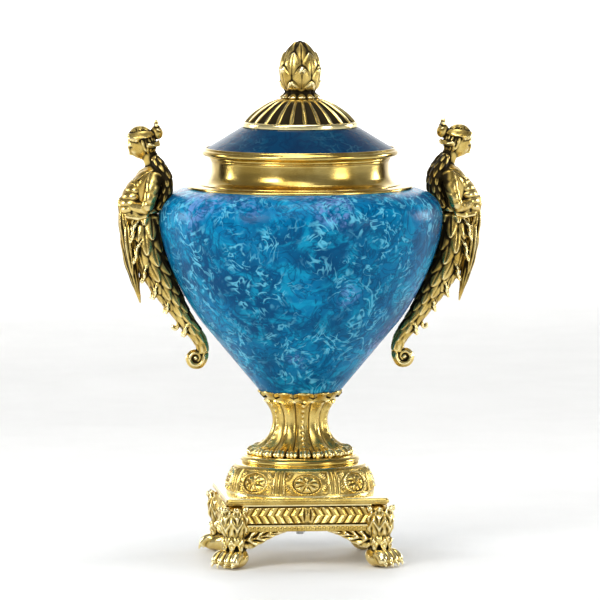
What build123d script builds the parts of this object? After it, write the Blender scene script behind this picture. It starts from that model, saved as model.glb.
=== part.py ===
"""Covered urn on a square plinth with four paw feet: a glazed vessel and lid in cast and turned gilt mounts.

Frame: +Z up, origin on the ground under the middle of the plinth, handles along +X and -X.
Every length is in millimetres. Each make_ function returns one node's shape.
"""

from math import atan2, cos, degrees, radians, sin, sqrt
import os

from build123d import *

# ---------------------------------------------------------------- driving dimensions
THREAD_GAP = 0.05         # radial gap between a rod and the thread or hole that grips it
SEAT_GAP = 0.3            # radial gap where one turned piece drops over another
BED_GAP = 0.15            # film of wax between a casting and the glaze

# plinth and feet
FOOT_HEIGHT = 29.0        # ground to the underside of the plinth
PLINTH_HALF = 60.5        # half the side of the plinth box
PLINTH_HEIGHT = 21.0
PLINTH_WALL = 4.0
CORNER_CUT = 11.0         # leg of the 45 degree cut that each foot backs against
PLATE_OVERHANG = 3.7
PLATE_HEIGHT = 5.0
BASE_BAND = 4.0           # height of the bead round the bottom of the plinth box
FRIEZE_THICK = 2.5
LEAVES_PER_HALF = 8       # laurel leaves from a frieze's end to its middle
PAW_RADIUS = 12.0
PAW_HEIGHT = 13.0
PAW_OUT = 3.0             # middle of the paw beyond the corner cut
KNEE_HALF = 10.0          # half the width of the leafy knee
TOE_RADIUS = 4.3
TOE_REACH = 12.5          # toe tip beyond the middle of the paw
BRACKET_REACH = 30.0      # from the corner cut inwards along the plinth's underside
BRACKET_DROP = 12.0
BRACKET_THICK = 6.0

# drum, ring and stem
DRUM_HEIGHT = 22.0
DRUM_INSET = 5.2          # plate's edge to the drum's foot
DRUM_TAPER = 9.0          # foot radius less top radius
DRUM_WALL = 4.0
ROSETTES = 8
ROSETTE_HALF_WIDTH = 13.0
ROSETTE_HALF_HEIGHT = 9.0
ROSETTE_PROUD = 1.6
RING_INSET = 3.0          # drum's top to the ring's edge
RING_HEIGHT = 7.0
STEM_FOOT_INSET = 5.5     # ring's edge to the stem's foot
STEM_FOOT_HEIGHT = 5.0
STEM_WAIST_R = 21.6
STEM_SWEEP_R = 21.5       # radius of the concave sweep between foot and cup
FLUTES = 12
FLUTE_R = 2.7
CUP_HEIGHT = 8.5
CUP_PROUD = 3.0           # cup's swell beyond the stem or the vessel's seat
CUP_FLOOR = 4.0

# vessel
WALL = 6.0
BODY_FLOOR = 9.0
SEAT_R = 28.9             # flat underside that stands in the cup
CONE_HEIGHT = 56.6
CONE_TOP_R = 76.3
BELLY_HEIGHT = 141.0      # seat to the widest level
BELLY_R = 112.5
SHOULDER_RISE = 23.0      # widest level to the shoulder's inner edge
NECK_STEP = 3.0           # rise of the shoulder under the collar's flange
NECK_R = 67.5             # outside of the glazed neck
NECK_WALL = 5.4
NECK_HEIGHT = 14.7

# collar and lid
COLLAR_WAIST_WALL = 2.5
COLLAR_FLANGE = 21.5      # flange beyond the neck
COLLAR_RISE = 26.0        # shoulder's inner edge to the collar's top
COLLAR_LIP = 0.4          # lip's bore beyond the neck's bore
LID_GAP = 1.0             # play between lid flange and collar lip
COLLAR_BEAD = 1.3         # bead beyond the collar's waist
RIM_OVERHANG = 5.9        # lid rim beyond that bead
RIM_HEIGHT = 6.3
FLANGE_WALL = 3.0
FLANGE_DEPTH = 12.0
LID_WALL = 4.0
LID_RISE = 19.0           # ledge of the rim to the top of the glazed lid
LID_TOP_R = 46.5
LID_EDGE_INSET = 3.7      # rim's edge to the glazed lid's edge
CAP_R = 45.4
CAP_BAND = 4.0
CAP_NECK_R = 12.5
CAP_RISE = 19.5
CAP_WALL = 3.0
CAP_CORNER = 0.6          # band's top edge, set in from its side
GADROONS = 24
GADROON_R = 1.4
BUD_NECK_HEIGHT = 5.5
BUD_R = 17.4
BUD_HEIGHT = 40.0

# fasteners
ROD_R = 3.0               # central tie rod
NUT_FLAT_R = 5.0          # half the distance across a hexagon's flats
NUT_HEIGHT = 5.0
WASHER_R = 14.0
WASHER_HEIGHT = 2.0
LID_WASHER_R = 9.3
STUD_R = 2.0              # handle studs and foot screws
SMALL_NUT_FLAT_R = 3.5
SMALL_NUT_HEIGHT = 3.2
SMALL_WASHER_R = 6.0
SMALL_WASHER_HEIGHT = 1.2
STUD_IN_CASTING = 12.0
SCREW_INSET = 5.0         # inside of the plinth's corner to a foot screw
ROD_PLAY = 0.5            # radial play of the tie rod and lid stud in the pieces they pass through
STUD_PLAY = 0.4
SADDLE_HEIGHT = 3.0       # cork pad under a handle nut

# handles: places are (out from the belly, sideways, up from the widest level)
WAIST_RISE = 4.0          # level where the figure's casting meets the tail's
HEAD, HEAD_R = (13.5, 0.0, 59.5), 12.8
JAW, JAW_R = (17.0, 0.0, 54.5), 9.2
KNOT, KNOT_R = (-1.0, 0.0, 71.5), 4.0
KNOT_ROOT, KNOT_STEM_R = (8.5, 0.0, 63.5), 3.5
NECK_ROOT, THROAT_R = (3.0, 0.0, 42.0), 5.5
SHOULDER = (4.0, 15.0, 34.0)
ELBOW = (7.0, 18.5, 7.0)
HAND, HAND_R = (27.5, 3.0, 12.0), 4.6
UPPER_ARM_R, FOREARM_R = 4.6, 3.8
BREAST, BREAST_R = (14.5, 7.5, 25.0), 6.0
WING_SIDE = 7.0
# slices as (out, up, half across the handle's thickness, half sideways)
TORSO_SLICES = ((8.5, 4.0, 12.0, 12.5), (9.0, 13.0, 12.0, 13.0), (8.0, 24.0, 16.0, 16.0),
                (3.0, 35.0, 11.0, 17.0), (2.0, 43.0, 6.5, 9.0))
WING_SLICES = ((-2.5, 38.0, 4.0, 5.0), (-4.5, 28.0, 4.5, 6.0), (-3.5, 12.0, 4.0, 5.0))
SASH_SLICES = ((30.0, 10.0, 4.6, 7.0), (26.5, -12.0, 5.6, 8.0), (23.5, -34.0, 5.4, 6.5),
               (20.0, -50.0, 4.0, 4.0), (17.5, -65.0, 0.8, 1.0))
# tail slices as (drop below the waist, centre beyond the wall, half thickness, half sideways)
TAIL_SLICES = ((0.0, 9.6, 13.2, 12.5), (20.0, 10.4, 13.4, 15.0), (38.0, 12.6, 12.4, 14.0),
               (54.0, 11.5, 11.5, 12.0), (66.0, 11.2, 9.5, 10.0), (77.0, 11.3, 7.3, 8.0),
               (89.0, 12.0, 6.3, 6.5), (101.0, 13.0, 5.3, 5.5), (115.0, 22.0, 4.2, 4.2))
UPPER_STUD_RISE = 11.0
LOWER_STUD_DROP = 60.0
STUD_BOSS_R = 6.5         # boss of the tail round its stud
SCROLL_R = 6.0            # middle line of the scroll at the tail's tip
SCROLL_TURN = 235.0       # degrees

# ---------------------------------------------------------------- levels, from the ground up
PLATE_Z = FOOT_HEIGHT + PLINTH_HEIGHT
DRUM_Z = PLATE_Z + PLATE_HEIGHT
RING_Z = DRUM_Z + DRUM_HEIGHT
STEM_Z = RING_Z + RING_HEIGHT
WAIST_Z = STEM_Z + STEM_FOOT_HEIGHT + STEM_SWEEP_R
CUP_Z = WAIST_Z + 0.75 * STEM_SWEEP_R
SEAT_Z = CUP_Z + CUP_FLOOR
BELLY_Z = SEAT_Z + BELLY_HEIGHT
SHOULDER_Z = BELLY_Z + SHOULDER_RISE
NECK_Z = SHOULDER_Z + NECK_STEP
NECK_TOP_Z = NECK_Z + NECK_HEIGHT
COLLAR_TOP_Z = SHOULDER_Z + COLLAR_RISE
LEDGE_Z = COLLAR_TOP_Z + RIM_HEIGHT / 2
LID_TOP_Z = LEDGE_Z + LID_RISE
CAP_TOP_Z = LID_TOP_Z + CAP_BAND + CAP_RISE
BUD_Z = CAP_TOP_Z + BUD_NECK_HEIGHT

# radii that follow from the fits
PLATE_HALF = PLINTH_HALF + PLATE_OVERHANG
DRUM_FOOT_R = PLATE_HALF - DRUM_INSET
DRUM_TOP_R = DRUM_FOOT_R - DRUM_TAPER
RING_R = DRUM_TOP_R - RING_INSET
STEM_FOOT_R = RING_R - STEM_FOOT_INSET
STEM_TOP_R = STEM_WAIST_R + STEM_SWEEP_R - sqrt(STEM_SWEEP_R ** 2 - (CUP_Z - WAIST_Z) ** 2)
CUP_R = max(STEM_TOP_R, SEAT_R) + CUP_PROUD
CORNER_REACH = (2 * PLINTH_HALF - CORNER_CUT) / sqrt(2)    # middle to a corner cut, on the diagonal
SCREW_REACH = CORNER_REACH - PLINTH_WALL - SCREW_INSET
FLANGE_EDGE_R = NECK_R + COLLAR_FLANGE
MOUTH_R = NECK_R - NECK_WALL
LIP_R = MOUTH_R + COLLAR_LIP
COLLAR_WAIST_R = NECK_R + SEAT_GAP + COLLAR_WAIST_WALL
LID_FLANGE_R = LIP_R - LID_GAP
RIM_R = COLLAR_WAIST_R + COLLAR_BEAD + RIM_OVERHANG
LID_EDGE_R = RIM_R - LID_EDGE_INSET
ROD_HOLE_R = ROD_R + ROD_PLAY
ROD_GRIP_R = ROD_R + THREAD_GAP
STUD_HOLE_R = STUD_R + STUD_PLAY
STUD_GRIP_R = STUD_R + THREAD_GAP


# ---------------------------------------------------------------- helpers
def at(r, z):
    """A point of a turned profile."""
    return Vector(r, 0, z)


def lathe(*curves):
    """Turn a closed profile, given as curves head to tail, about Z."""
    edges = [edge for curve in curves for edge in curve.edges()]
    return revolve(make_face(edges), Axis.Z)


def turned(*points):
    """Turn a straight-sided profile about Z."""
    return lathe(Polyline(*points, close=True))


def tube(outer_r, inner_r, bottom, top):
    """A plain ring about Z."""
    return turned(at(inner_r, bottom), at(outer_r, bottom), at(outer_r, top), at(inner_r, top))


def ball(radius, x, y, z):
    return Pos(x, y, z) * Sphere(radius)


def around(count, start=0.0):
    """Angles in degrees of a pattern about Z."""
    return [start + 360.0 * i / count for i in range(count)]


def rod_between(radius, start, end):
    """A round-ended rod between two points."""
    start, end = Vector(*start), Vector(*end)
    span = end - start
    shaft = Plane(origin=(start + end) / 2, z_dir=span) * Cylinder(radius, span.length)
    return shaft + ball(radius, *start) + ball(radius, *end)


def mirrored(shape):
    """The same shape on the other side of the vessel."""
    return mirror(shape, about=Plane.YZ)


def one_solid(shape):
    """The largest solid of a result, so that cuts leave no chips behind."""
    return max(shape.solids(), key=lambda solid: solid.volume)


def hex_nut(flat_r, height, hole_r):
    blank = extrude(RegularPolygon(flat_r, 6, major_radius=False), height)
    return blank - Pos(0, 0, height / 2) * Cylinder(hole_r, 2 * height)


def stem_radius(z):
    """Radius of the stem's concave sweep at a level."""
    return STEM_WAIST_R + STEM_SWEEP_R - sqrt(STEM_SWEEP_R ** 2 - (z - WAIST_Z) ** 2)


# ---------------------------------------------------------------- vessel outline
def vessel_points(inset=0.0):
    """Control points of the vessel's side: cone, belly and shoulder, moved inwards by inset."""
    slope = atan2(CONE_TOP_R - SEAT_R, CONE_HEIGHT)
    out_r, out_z = cos(slope), -sin(slope)
    foot = at(SEAT_R - inset * out_r, SEAT_Z - inset * out_z)
    cone_top = at(CONE_TOP_R - inset * out_r, SEAT_Z + CONE_HEIGHT - inset * out_z)
    lift = (BELLY_HEIGHT - CONE_HEIGHT) / 4
    belly = [
        cone_top,
        cone_top + at(lift * sin(slope), lift * cos(slope)),
        at(BELLY_R - inset, BELLY_Z - 1.25 * lift),
        at(BELLY_R - inset, BELLY_Z),
    ]
    edge_r = max(FLANGE_EDGE_R + 1.0, 0.8 * BELLY_R)
    shoulder = [
        belly[-1],
        at(BELLY_R - inset, BELLY_Z + 0.62 * SHOULDER_RISE),
        at((BELLY_R + edge_r) / 2 + 3.0 - 0.5 * inset, SHOULDER_Z - 2.7 - 0.87 * inset),
        at(edge_r - 0.13 * inset, SHOULDER_Z - inset),
    ]
    return foot, belly, shoulder


def bezier_point(points, t):
    """A point of a cubic Bezier curve."""
    a, b, c, d = points
    return a * (1 - t) ** 3 + b * 3 * t * (1 - t) ** 2 + c * 3 * t * t * (1 - t) + d * t ** 3


def vessel_radius(z):
    """Radius of the vessel's side at a level between the seat and the shoulder's edge."""
    foot, belly, shoulder = vessel_points()
    if z <= belly[0].Z:
        share = (z - foot.Z) / (belly[0].Z - foot.Z)
        return foot.X + share * (belly[0].X - foot.X)
    curve = belly if z <= BELLY_Z else shoulder
    low, high = 0.0, 1.0
    for _ in range(40):
        t = (low + high) / 2
        level = bezier_point(curve, t).Z
        low, high = (t, high) if level < z else (low, t)
    return bezier_point(curve, t).X


def vessel_slope(z):
    """Angle between the vessel's side and the vertical, in degrees, at a level."""
    step = 0.5
    return degrees(atan2(vessel_radius(z + step) - vessel_radius(z - step), 2 * step))


def vessel_space():
    """Everything inside the vessel and its collar, with the bedding film: castings are cut back to it."""
    foot, belly, shoulder = vessel_points(-BED_GAP)
    top_z = COLLAR_TOP_Z + RIM_HEIGHT
    collar_r = FLANGE_EDGE_R + SEAT_GAP
    return lathe(
        Line(at(0, foot.Z), foot),
        Line(foot, belly[0]),
        Bezier(*belly),
        Bezier(*shoulder),
        Polyline(shoulder[-1], at(collar_r, shoulder[-1].Z), at(collar_r, top_z), at(0, top_z),
                 at(0, foot.Z)),
    )


def stud_axes():
    """Place of each stud on the +X side: an origin on the wall and the way it points out."""
    axes = []
    for z in (BELLY_Z + UPPER_STUD_RISE, BELLY_Z - LOWER_STUD_DROP):
        tilt = radians(vessel_slope(z))
        axes.append((Vector(vessel_radius(z), 0, z), Vector(cos(tilt), 0, -sin(tilt))))
    return axes


def on_studs(make):
    """Solids made by make(plane) at all four handle studs, the plane's Z pointing out."""
    right = [make(Plane(origin=point, z_dir=way)) for point, way in stud_axes()]
    return right + [mirrored(shape) for shape in right]


# ---------------------------------------------------------------- vessel, collar and lid
def make_vessel():
    foot, belly, shoulder = vessel_points()
    in_foot, in_belly, in_shoulder = vessel_points(WALL)
    floor_z = SEAT_Z + BODY_FLOOR
    share = (floor_z - in_foot.Z) / (in_belly[0].Z - in_foot.Z)
    floor_r = in_foot.X + share * (in_belly[0].X - in_foot.X)
    shell = lathe(
        Line(foot, belly[0]),
        Bezier(*belly),
        Bezier(*shoulder),
        Polyline(shoulder[-1], at(NECK_R, NECK_Z), at(NECK_R, NECK_TOP_Z), at(MOUTH_R, NECK_TOP_Z),
                 at(MOUTH_R, NECK_Z - WALL), in_shoulder[-1]),
        Bezier(*reversed(in_shoulder)),
        Bezier(*reversed(in_belly)),
        Polyline(in_belly[0], at(floor_r, floor_z), at(ROD_HOLE_R, floor_z), at(ROD_HOLE_R, SEAT_Z), foot),
    )
    for drill in on_studs(lambda plane: plane * Cylinder(STUD_HOLE_R, 6 * WALL)):
        shell -= drill
    return shell


def vessel_rings(vessel):
    """The vessel in level rings, each simple enough for its own collision: name and solid."""
    cone_top_z = vessel_points()[1][0].Z
    levels = [SEAT_Z, SEAT_Z + BODY_FLOOR, cone_top_z, BELLY_Z, SHOULDER_Z - WALL, NECK_Z, NECK_TOP_Z]
    names = ["floor", "cone", "belly", "shoulder", "shelf", "neck"]
    rings = {}
    for name, low, high in zip(names, levels, levels[1:]):
        slab = Pos(0, 0, (low + high) / 2) * Cylinder(2 * BELLY_R, high - low)
        rings[f"vessel_{name}"] = one_solid(vessel & slab)
    return rings


def make_collar():
    bore_r = NECK_R + SEAT_GAP
    _, _, shoulder = vessel_points()
    flange_z = shoulder[-1].Z + (shoulder[-1].X - FLANGE_EDGE_R) * NECK_STEP / (shoulder[-1].X - NECK_R)
    lip_z = NECK_TOP_Z + SEAT_GAP
    bead_r = COLLAR_WAIST_R + COLLAR_BEAD
    inner_z = NECK_Z - (bore_r - NECK_R) * NECK_STEP / (shoulder[-1].X - NECK_R)
    return lathe(
        Line(at(FLANGE_EDGE_R, flange_z), at(FLANGE_EDGE_R, flange_z + 1.5)),
        Bezier(at(FLANGE_EDGE_R, flange_z + 1.5), at(COLLAR_WAIST_R + 6.0, flange_z + 2.5),
               at(COLLAR_WAIST_R, flange_z + 6.0), at(COLLAR_WAIST_R, COLLAR_TOP_Z - 10.0)),
        Line(at(COLLAR_WAIST_R, COLLAR_TOP_Z - 10.0), at(COLLAR_WAIST_R, COLLAR_TOP_Z - 3.0)),
        ThreePointArc(at(COLLAR_WAIST_R, COLLAR_TOP_Z - 3.0), at(bead_r, COLLAR_TOP_Z - 1.5),
                      at(COLLAR_WAIST_R, COLLAR_TOP_Z)),
        Polyline(at(COLLAR_WAIST_R, COLLAR_TOP_Z), at(LIP_R, COLLAR_TOP_Z), at(LIP_R, lip_z),
                 at(bore_r, lip_z), at(bore_r, inner_z), at(FLANGE_EDGE_R, flange_z)),
    )


def lid_cone_r(z):
    """Radius of the glazed lid's sloping side at a level."""
    share = (LID_TOP_Z - z) / LID_RISE
    return LID_TOP_R + share * (RIM_R - LID_TOP_R)


def make_lid_rim():
    rebate_r = LID_EDGE_R + SEAT_GAP
    top_z = COLLAR_TOP_Z + RIM_HEIGHT
    return lathe(
        Line(at(LID_FLANGE_R, COLLAR_TOP_Z), at(RIM_R - 3.0, COLLAR_TOP_Z)),
        ThreePointArc(at(RIM_R - 3.0, COLLAR_TOP_Z), at(RIM_R, LEDGE_Z), at(RIM_R - 2.7, top_z)),
        Polyline(at(RIM_R - 2.7, top_z), at(rebate_r, top_z), at(rebate_r, LEDGE_Z),
                 at(LID_FLANGE_R, LEDGE_Z), at(LID_FLANGE_R, COLLAR_TOP_Z)),
    )


def make_lid_flange():
    return tube(LID_FLANGE_R, LID_FLANGE_R - FLANGE_WALL, COLLAR_TOP_Z - FLANGE_DEPTH, LEDGE_Z)


def make_lid_shell():
    slope = atan2(RIM_R - LID_TOP_R, LID_RISE)
    under_z = LID_TOP_Z - LID_WALL
    shift = LID_WALL / cos(slope)
    inner_edge_r = lid_cone_r(LEDGE_Z) - shift
    inner_top_r = lid_cone_r(under_z) - shift
    edge_z = LID_TOP_Z - LID_RISE * (LID_EDGE_R - LID_TOP_R) / (RIM_R - LID_TOP_R)
    return turned(
        at(LID_EDGE_R, LEDGE_Z), at(LID_EDGE_R, edge_z), at(LID_TOP_R, LID_TOP_Z),
        at(ROD_HOLE_R, LID_TOP_Z), at(ROD_HOLE_R, under_z), at(inner_top_r, under_z),
        at(inner_edge_r, LEDGE_Z),
    )


def lid_halves(lid):
    """The glazed lid as a sloping ring and a level crown, each simple enough for its own collision."""
    level = Pos(0, 0, LID_TOP_Z - LID_WALL + 500) * Cylinder(2 * RIM_R, 1000)
    return one_solid(lid - level), one_solid(lid & level)


def cap_arc():
    """The dome's meridian: three points on it, its centre and its radius."""
    low, high = at(CAP_R - CAP_CORNER, LID_TOP_Z + CAP_BAND), at(CAP_NECK_R, CAP_TOP_Z)
    chord = high - low
    bulge = 0.1 * chord.length
    radius = (chord.length ** 2 / 4 + bulge ** 2) / (2 * bulge)
    outward = Vector(chord.Z, 0, -chord.X).normalized()
    middle = (low + high) / 2 + outward * bulge
    return low, middle, high, middle - outward * radius, radius


def make_lid_cap():
    low, middle, high, centre, radius = cap_arc()
    dome = lathe(
        Line(at(CAP_R, LID_TOP_Z), at(CAP_R, LID_TOP_Z + CAP_BAND)),
        Line(at(CAP_R, LID_TOP_Z + CAP_BAND), low),
        ThreePointArc(low, middle, high),
        Polyline(high, at(ROD_GRIP_R, CAP_TOP_Z), at(ROD_GRIP_R, LID_TOP_Z), at(CAP_NECK_R, LID_TOP_Z),
                 at(CAP_NECK_R, CAP_TOP_Z - 2.5 * CAP_WALL), at(CAP_R - 3 * CAP_WALL, LID_TOP_Z + CAP_BAND),
                 at(CAP_R - CAP_WALL, LID_TOP_Z), at(CAP_R, LID_TOP_Z)),
    )
    profile = Plane(origin=centre + at(radius, 0), z_dir=(0, 0, 1)) * Circle(GADROON_R)
    groove = revolve(profile, Axis((centre.X, 0, centre.Z), (0, 1, 0)))
    keep = tube(low.X - 2.0, CAP_NECK_R + 1.0, low.Z + 1.0, CAP_TOP_Z + 10.0)
    half_space = Pos(DRUM_FOOT_R, 0, CAP_TOP_Z) * Box(2 * DRUM_FOOT_R, 20, 200)
    groove = one_solid((groove & keep) & half_space)
    for angle in around(GADROONS):
        dome -= Rot(0, 0, angle) * groove
    return dome


def make_finial():
    """A bud on a short neck, with a blind hole for the stud."""
    tip_z = BUD_Z + BUD_HEIGHT
    wide_z = BUD_Z + 0.38 * BUD_HEIGHT
    bud = lathe(
        Line(at(0, CAP_TOP_Z), at(CAP_NECK_R, CAP_TOP_Z)),
        ThreePointArc(at(CAP_NECK_R, CAP_TOP_Z), at(CAP_NECK_R - 2.5, CAP_TOP_Z + BUD_NECK_HEIGHT / 2),
                      at(CAP_NECK_R - 0.5, BUD_Z)),
        Bezier(at(CAP_NECK_R - 0.5, BUD_Z), at(BUD_R, BUD_Z + 4.0), at(BUD_R, wide_z - 5.0),
               at(BUD_R, wide_z)),
        Bezier(at(BUD_R, wide_z), at(BUD_R, wide_z + 10.0), at(CAP_NECK_R, tip_z - 6.0), at(0, tip_z)),
        Line(at(0, tip_z), at(0, CAP_TOP_Z)),
    )
    bore_depth = BUD_NECK_HEIGHT + 8.0
    return bud - Pos(0, 0, CAP_TOP_Z + bore_depth / 2) * Cylinder(ROD_GRIP_R, bore_depth)


def make_finial_stud():
    bottom = LID_TOP_Z - LID_WALL - SMALL_WASHER_HEIGHT - NUT_HEIGHT - 2.0
    top = CAP_TOP_Z + BUD_NECK_HEIGHT + 7.0
    return Pos(0, 0, (bottom + top) / 2) * Cylinder(ROD_R, top - bottom)


def make_lid_washer():
    top = LID_TOP_Z - LID_WALL
    return tube(LID_WASHER_R, ROD_GRIP_R, top - SMALL_WASHER_HEIGHT, top)


def make_lid_nut():
    bottom = LID_TOP_Z - LID_WALL - SMALL_WASHER_HEIGHT - NUT_HEIGHT
    return Pos(0, 0, bottom) * hex_nut(NUT_FLAT_R, NUT_HEIGHT, ROD_GRIP_R)


# ---------------------------------------------------------------- stem, ring and drum
def make_cup():
    """Calyx that the vessel stands in; its lobes are parted by notches."""
    inner_top_r = vessel_radius(CUP_Z + CUP_HEIGHT)
    cup = turned(
        at(ROD_GRIP_R, CUP_Z), at(STEM_TOP_R, CUP_Z), at(CUP_R, CUP_Z + 0.4 * CUP_HEIGHT),
        at(max(CUP_R, inner_top_r + 0.8), CUP_Z + CUP_HEIGHT), at(inner_top_r, CUP_Z + CUP_HEIGHT),
        at(SEAT_R, SEAT_Z), at(ROD_GRIP_R, SEAT_Z),
    )
    notch = Pos(CUP_R + 1.5, 0, CUP_Z + CUP_HEIGHT / 2) * Cylinder(2.2, 2 * CUP_HEIGHT)
    for angle in around(FLUTES, 180.0 / FLUTES):
        cup -= Rot(0, 0, angle) * notch
    return cup


def make_stem():
    """The fluted stem, in two halves that meet at the waist."""
    foot_top = STEM_Z + STEM_FOOT_HEIGHT
    sweep_low = WAIST_Z - 0.93 * STEM_SWEEP_R
    stem = lathe(
        Polyline(at(ROD_HOLE_R, STEM_Z), at(STEM_FOOT_R, STEM_Z), at(STEM_FOOT_R, foot_top - 1.5),
                 at(STEM_FOOT_R - 2.0, foot_top), at(stem_radius(sweep_low), sweep_low)),
        ThreePointArc(at(stem_radius(sweep_low), sweep_low), at(STEM_WAIST_R, WAIST_Z),
                      at(STEM_TOP_R, CUP_Z)),
        Polyline(at(STEM_TOP_R, CUP_Z), at(ROD_HOLE_R, CUP_Z), at(ROD_HOLE_R, STEM_Z)),
    )
    centre_r = STEM_WAIST_R + STEM_SWEEP_R
    profile = Pos(STEM_WAIST_R - 0.15 * FLUTE_R, 0, WAIST_Z) * Circle(FLUTE_R)
    flute = revolve(profile, Axis((centre_r, 0, WAIST_Z), (0, 1, 0)))
    low, high = sweep_low + 2.0, CUP_Z + 2.0
    flute = flute & Pos(STEM_WAIST_R + 10.0, 0, (low + high) / 2) * Box(30.0, 20.0, high - low)
    lobe_gap = Pos(STEM_FOOT_R + 1.2, 0, STEM_Z + STEM_FOOT_HEIGHT / 2) * Cylinder(2.4, 3 * STEM_FOOT_HEIGHT)
    for angle in around(FLUTES, 180.0 / FLUTES):
        stem -= Rot(0, 0, angle) * one_solid(flute)
    for angle in around(2 * FLUTES, 90.0 / FLUTES):
        stem -= Rot(0, 0, angle) * lobe_gap
    lower = Pos(0, 0, WAIST_Z - 500) * Cylinder(2 * STEM_FOOT_R, 1000)
    return one_solid(stem & lower), one_solid(stem - lower)


def make_ring():
    return lathe(
        Line(at(ROD_HOLE_R, RING_Z), at(RING_R - 1.5, RING_Z)),
        ThreePointArc(at(RING_R - 1.5, RING_Z), at(RING_R, RING_Z + RING_HEIGHT / 2),
                      at(RING_R - 1.5, RING_Z + RING_HEIGHT)),
        Polyline(at(RING_R - 1.5, RING_Z + RING_HEIGHT), at(ROD_HOLE_R, RING_Z + RING_HEIGHT),
                 at(ROD_HOLE_R, RING_Z)),
    )


def drum_side(inset=0.0):
    """The drum's bulging side, bottom to top."""
    return Bezier(
        at(DRUM_FOOT_R - inset, DRUM_Z), at(DRUM_FOOT_R - 0.5 - inset, DRUM_Z + 0.6 * DRUM_HEIGHT),
        at(DRUM_TOP_R + 4.5 - inset, RING_Z - 0.15 * DRUM_HEIGHT), at(DRUM_TOP_R - inset, RING_Z),
    )


def make_drum():
    inner_top = RING_Z - DRUM_WALL
    shell = lathe(
        Line(at(0, DRUM_Z), at(DRUM_FOOT_R, DRUM_Z)), drum_side(),
        Line(at(DRUM_TOP_R, RING_Z), at(0, RING_Z)), Line(at(0, RING_Z), at(0, DRUM_Z)),
    )
    hollow = lathe(
        Line(at(0, DRUM_Z - 1), at(DRUM_FOOT_R - DRUM_WALL, DRUM_Z - 1)),
        Line(at(DRUM_FOOT_R - DRUM_WALL, DRUM_Z - 1), at(DRUM_FOOT_R - DRUM_WALL, DRUM_Z)),
        drum_side(DRUM_WALL),
        Line(at(DRUM_TOP_R - DRUM_WALL, RING_Z), at(0, RING_Z)), Line(at(0, RING_Z), at(0, DRUM_Z - 1)),
    )
    hollow = hollow & Pos(0, 0, inner_top - 500) * Cylinder(2 * DRUM_FOOT_R, 1000)
    return shell - hollow - Pos(0, 0, RING_Z) * Cylinder(ROD_HOLE_R, 4 * DRUM_WALL)


def make_rosette(drum_solid, angle):
    """An oval applied rosette: raised border, boss and petals, its back cut to the drum's side."""
    middle_z = DRUM_Z + 0.47 * DRUM_HEIGHT
    surface_r = DRUM_FOOT_R - 2.0
    tilt = 20.0
    oval = Ellipse(ROSETTE_HALF_WIDTH, ROSETTE_HALF_HEIGHT)
    inner = Ellipse(ROSETTE_HALF_WIDTH - 1.8, ROSETTE_HALF_HEIGHT - 1.8)
    disc = extrude(oval, ROSETTE_PROUD + 5.0) - Pos(0, 0, ROSETTE_PROUD + 4.0) * extrude(inner, 3.0)
    boss_z = ROSETTE_PROUD + 4.0
    disc += Pos(0, 0, boss_z) * Cylinder(2.2, 2.0, align=(Align.CENTER, Align.CENTER, Align.MIN))
    for turn in around(6):
        petal_r = ROSETTE_HALF_HEIGHT - 4.6
        disc += Rot(0, 0, turn) * Pos(petal_r, 0, boss_z) * Cylinder(
            1.5, 1.2, align=(Align.CENTER, Align.CENTER, Align.MIN))
    placed = Plane(origin=(surface_r - 4.2, 0, middle_z - 1.0), x_dir=(0, 1, 0),
                   z_dir=(cos(radians(tilt)), 0, sin(radians(tilt)))) * disc
    return one_solid(Rot(0, 0, angle) * placed - drum_solid)


# ---------------------------------------------------------------- plinth
def within_corners(shape, inset=0.0):
    """What of a shape lies inside the four planes that the feet back against."""
    reach = CORNER_REACH - inset
    return shape & Rot(0, 0, 45) * Pos(0, 0, PLATE_Z / 2) * Box(2 * reach, 2 * reach, 2 * PLATE_Z)


def square_slab(half, bottom, height):
    return Pos(0, 0, bottom + height / 2) * Box(2 * half, 2 * half, height)


def make_plate():
    slab = square_slab(PLATE_HALF, PLATE_Z, PLATE_HEIGHT)
    slab = fillet(slab.edges().filter_by(Axis.Z), 1.0)
    slab = fillet(slab.edges().group_by(Axis.Z)[-1], 0.3 * PLATE_HEIGHT)
    return slab - Pos(0, 0, PLATE_Z) * Cylinder(ROD_HOLE_R, 4 * PLATE_HEIGHT)


def make_plinth():
    """Open-topped box; its floor takes the tie rod and the foot screws."""
    box = square_slab(PLINTH_HALF, FOOT_HEIGHT, PLINTH_HEIGHT)
    box += square_slab(PLINTH_HALF + FRIEZE_THICK, FOOT_HEIGHT, BASE_BAND)
    hollow = square_slab(PLINTH_HALF - PLINTH_WALL, FOOT_HEIGHT + PLINTH_WALL, PLINTH_HEIGHT)
    box = within_corners(box) - within_corners(hollow, PLINTH_WALL)
    box -= Pos(0, 0, FOOT_HEIGHT) * Cylinder(ROD_HOLE_R, 4 * PLINTH_WALL)
    drill = Pos(SCREW_REACH, 0, FOOT_HEIGHT) * Cylinder(STUD_HOLE_R, 4 * PLINTH_WALL)
    for angle in around(4, 45.0):
        box -= Rot(0, 0, angle) * drill
    return box


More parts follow.
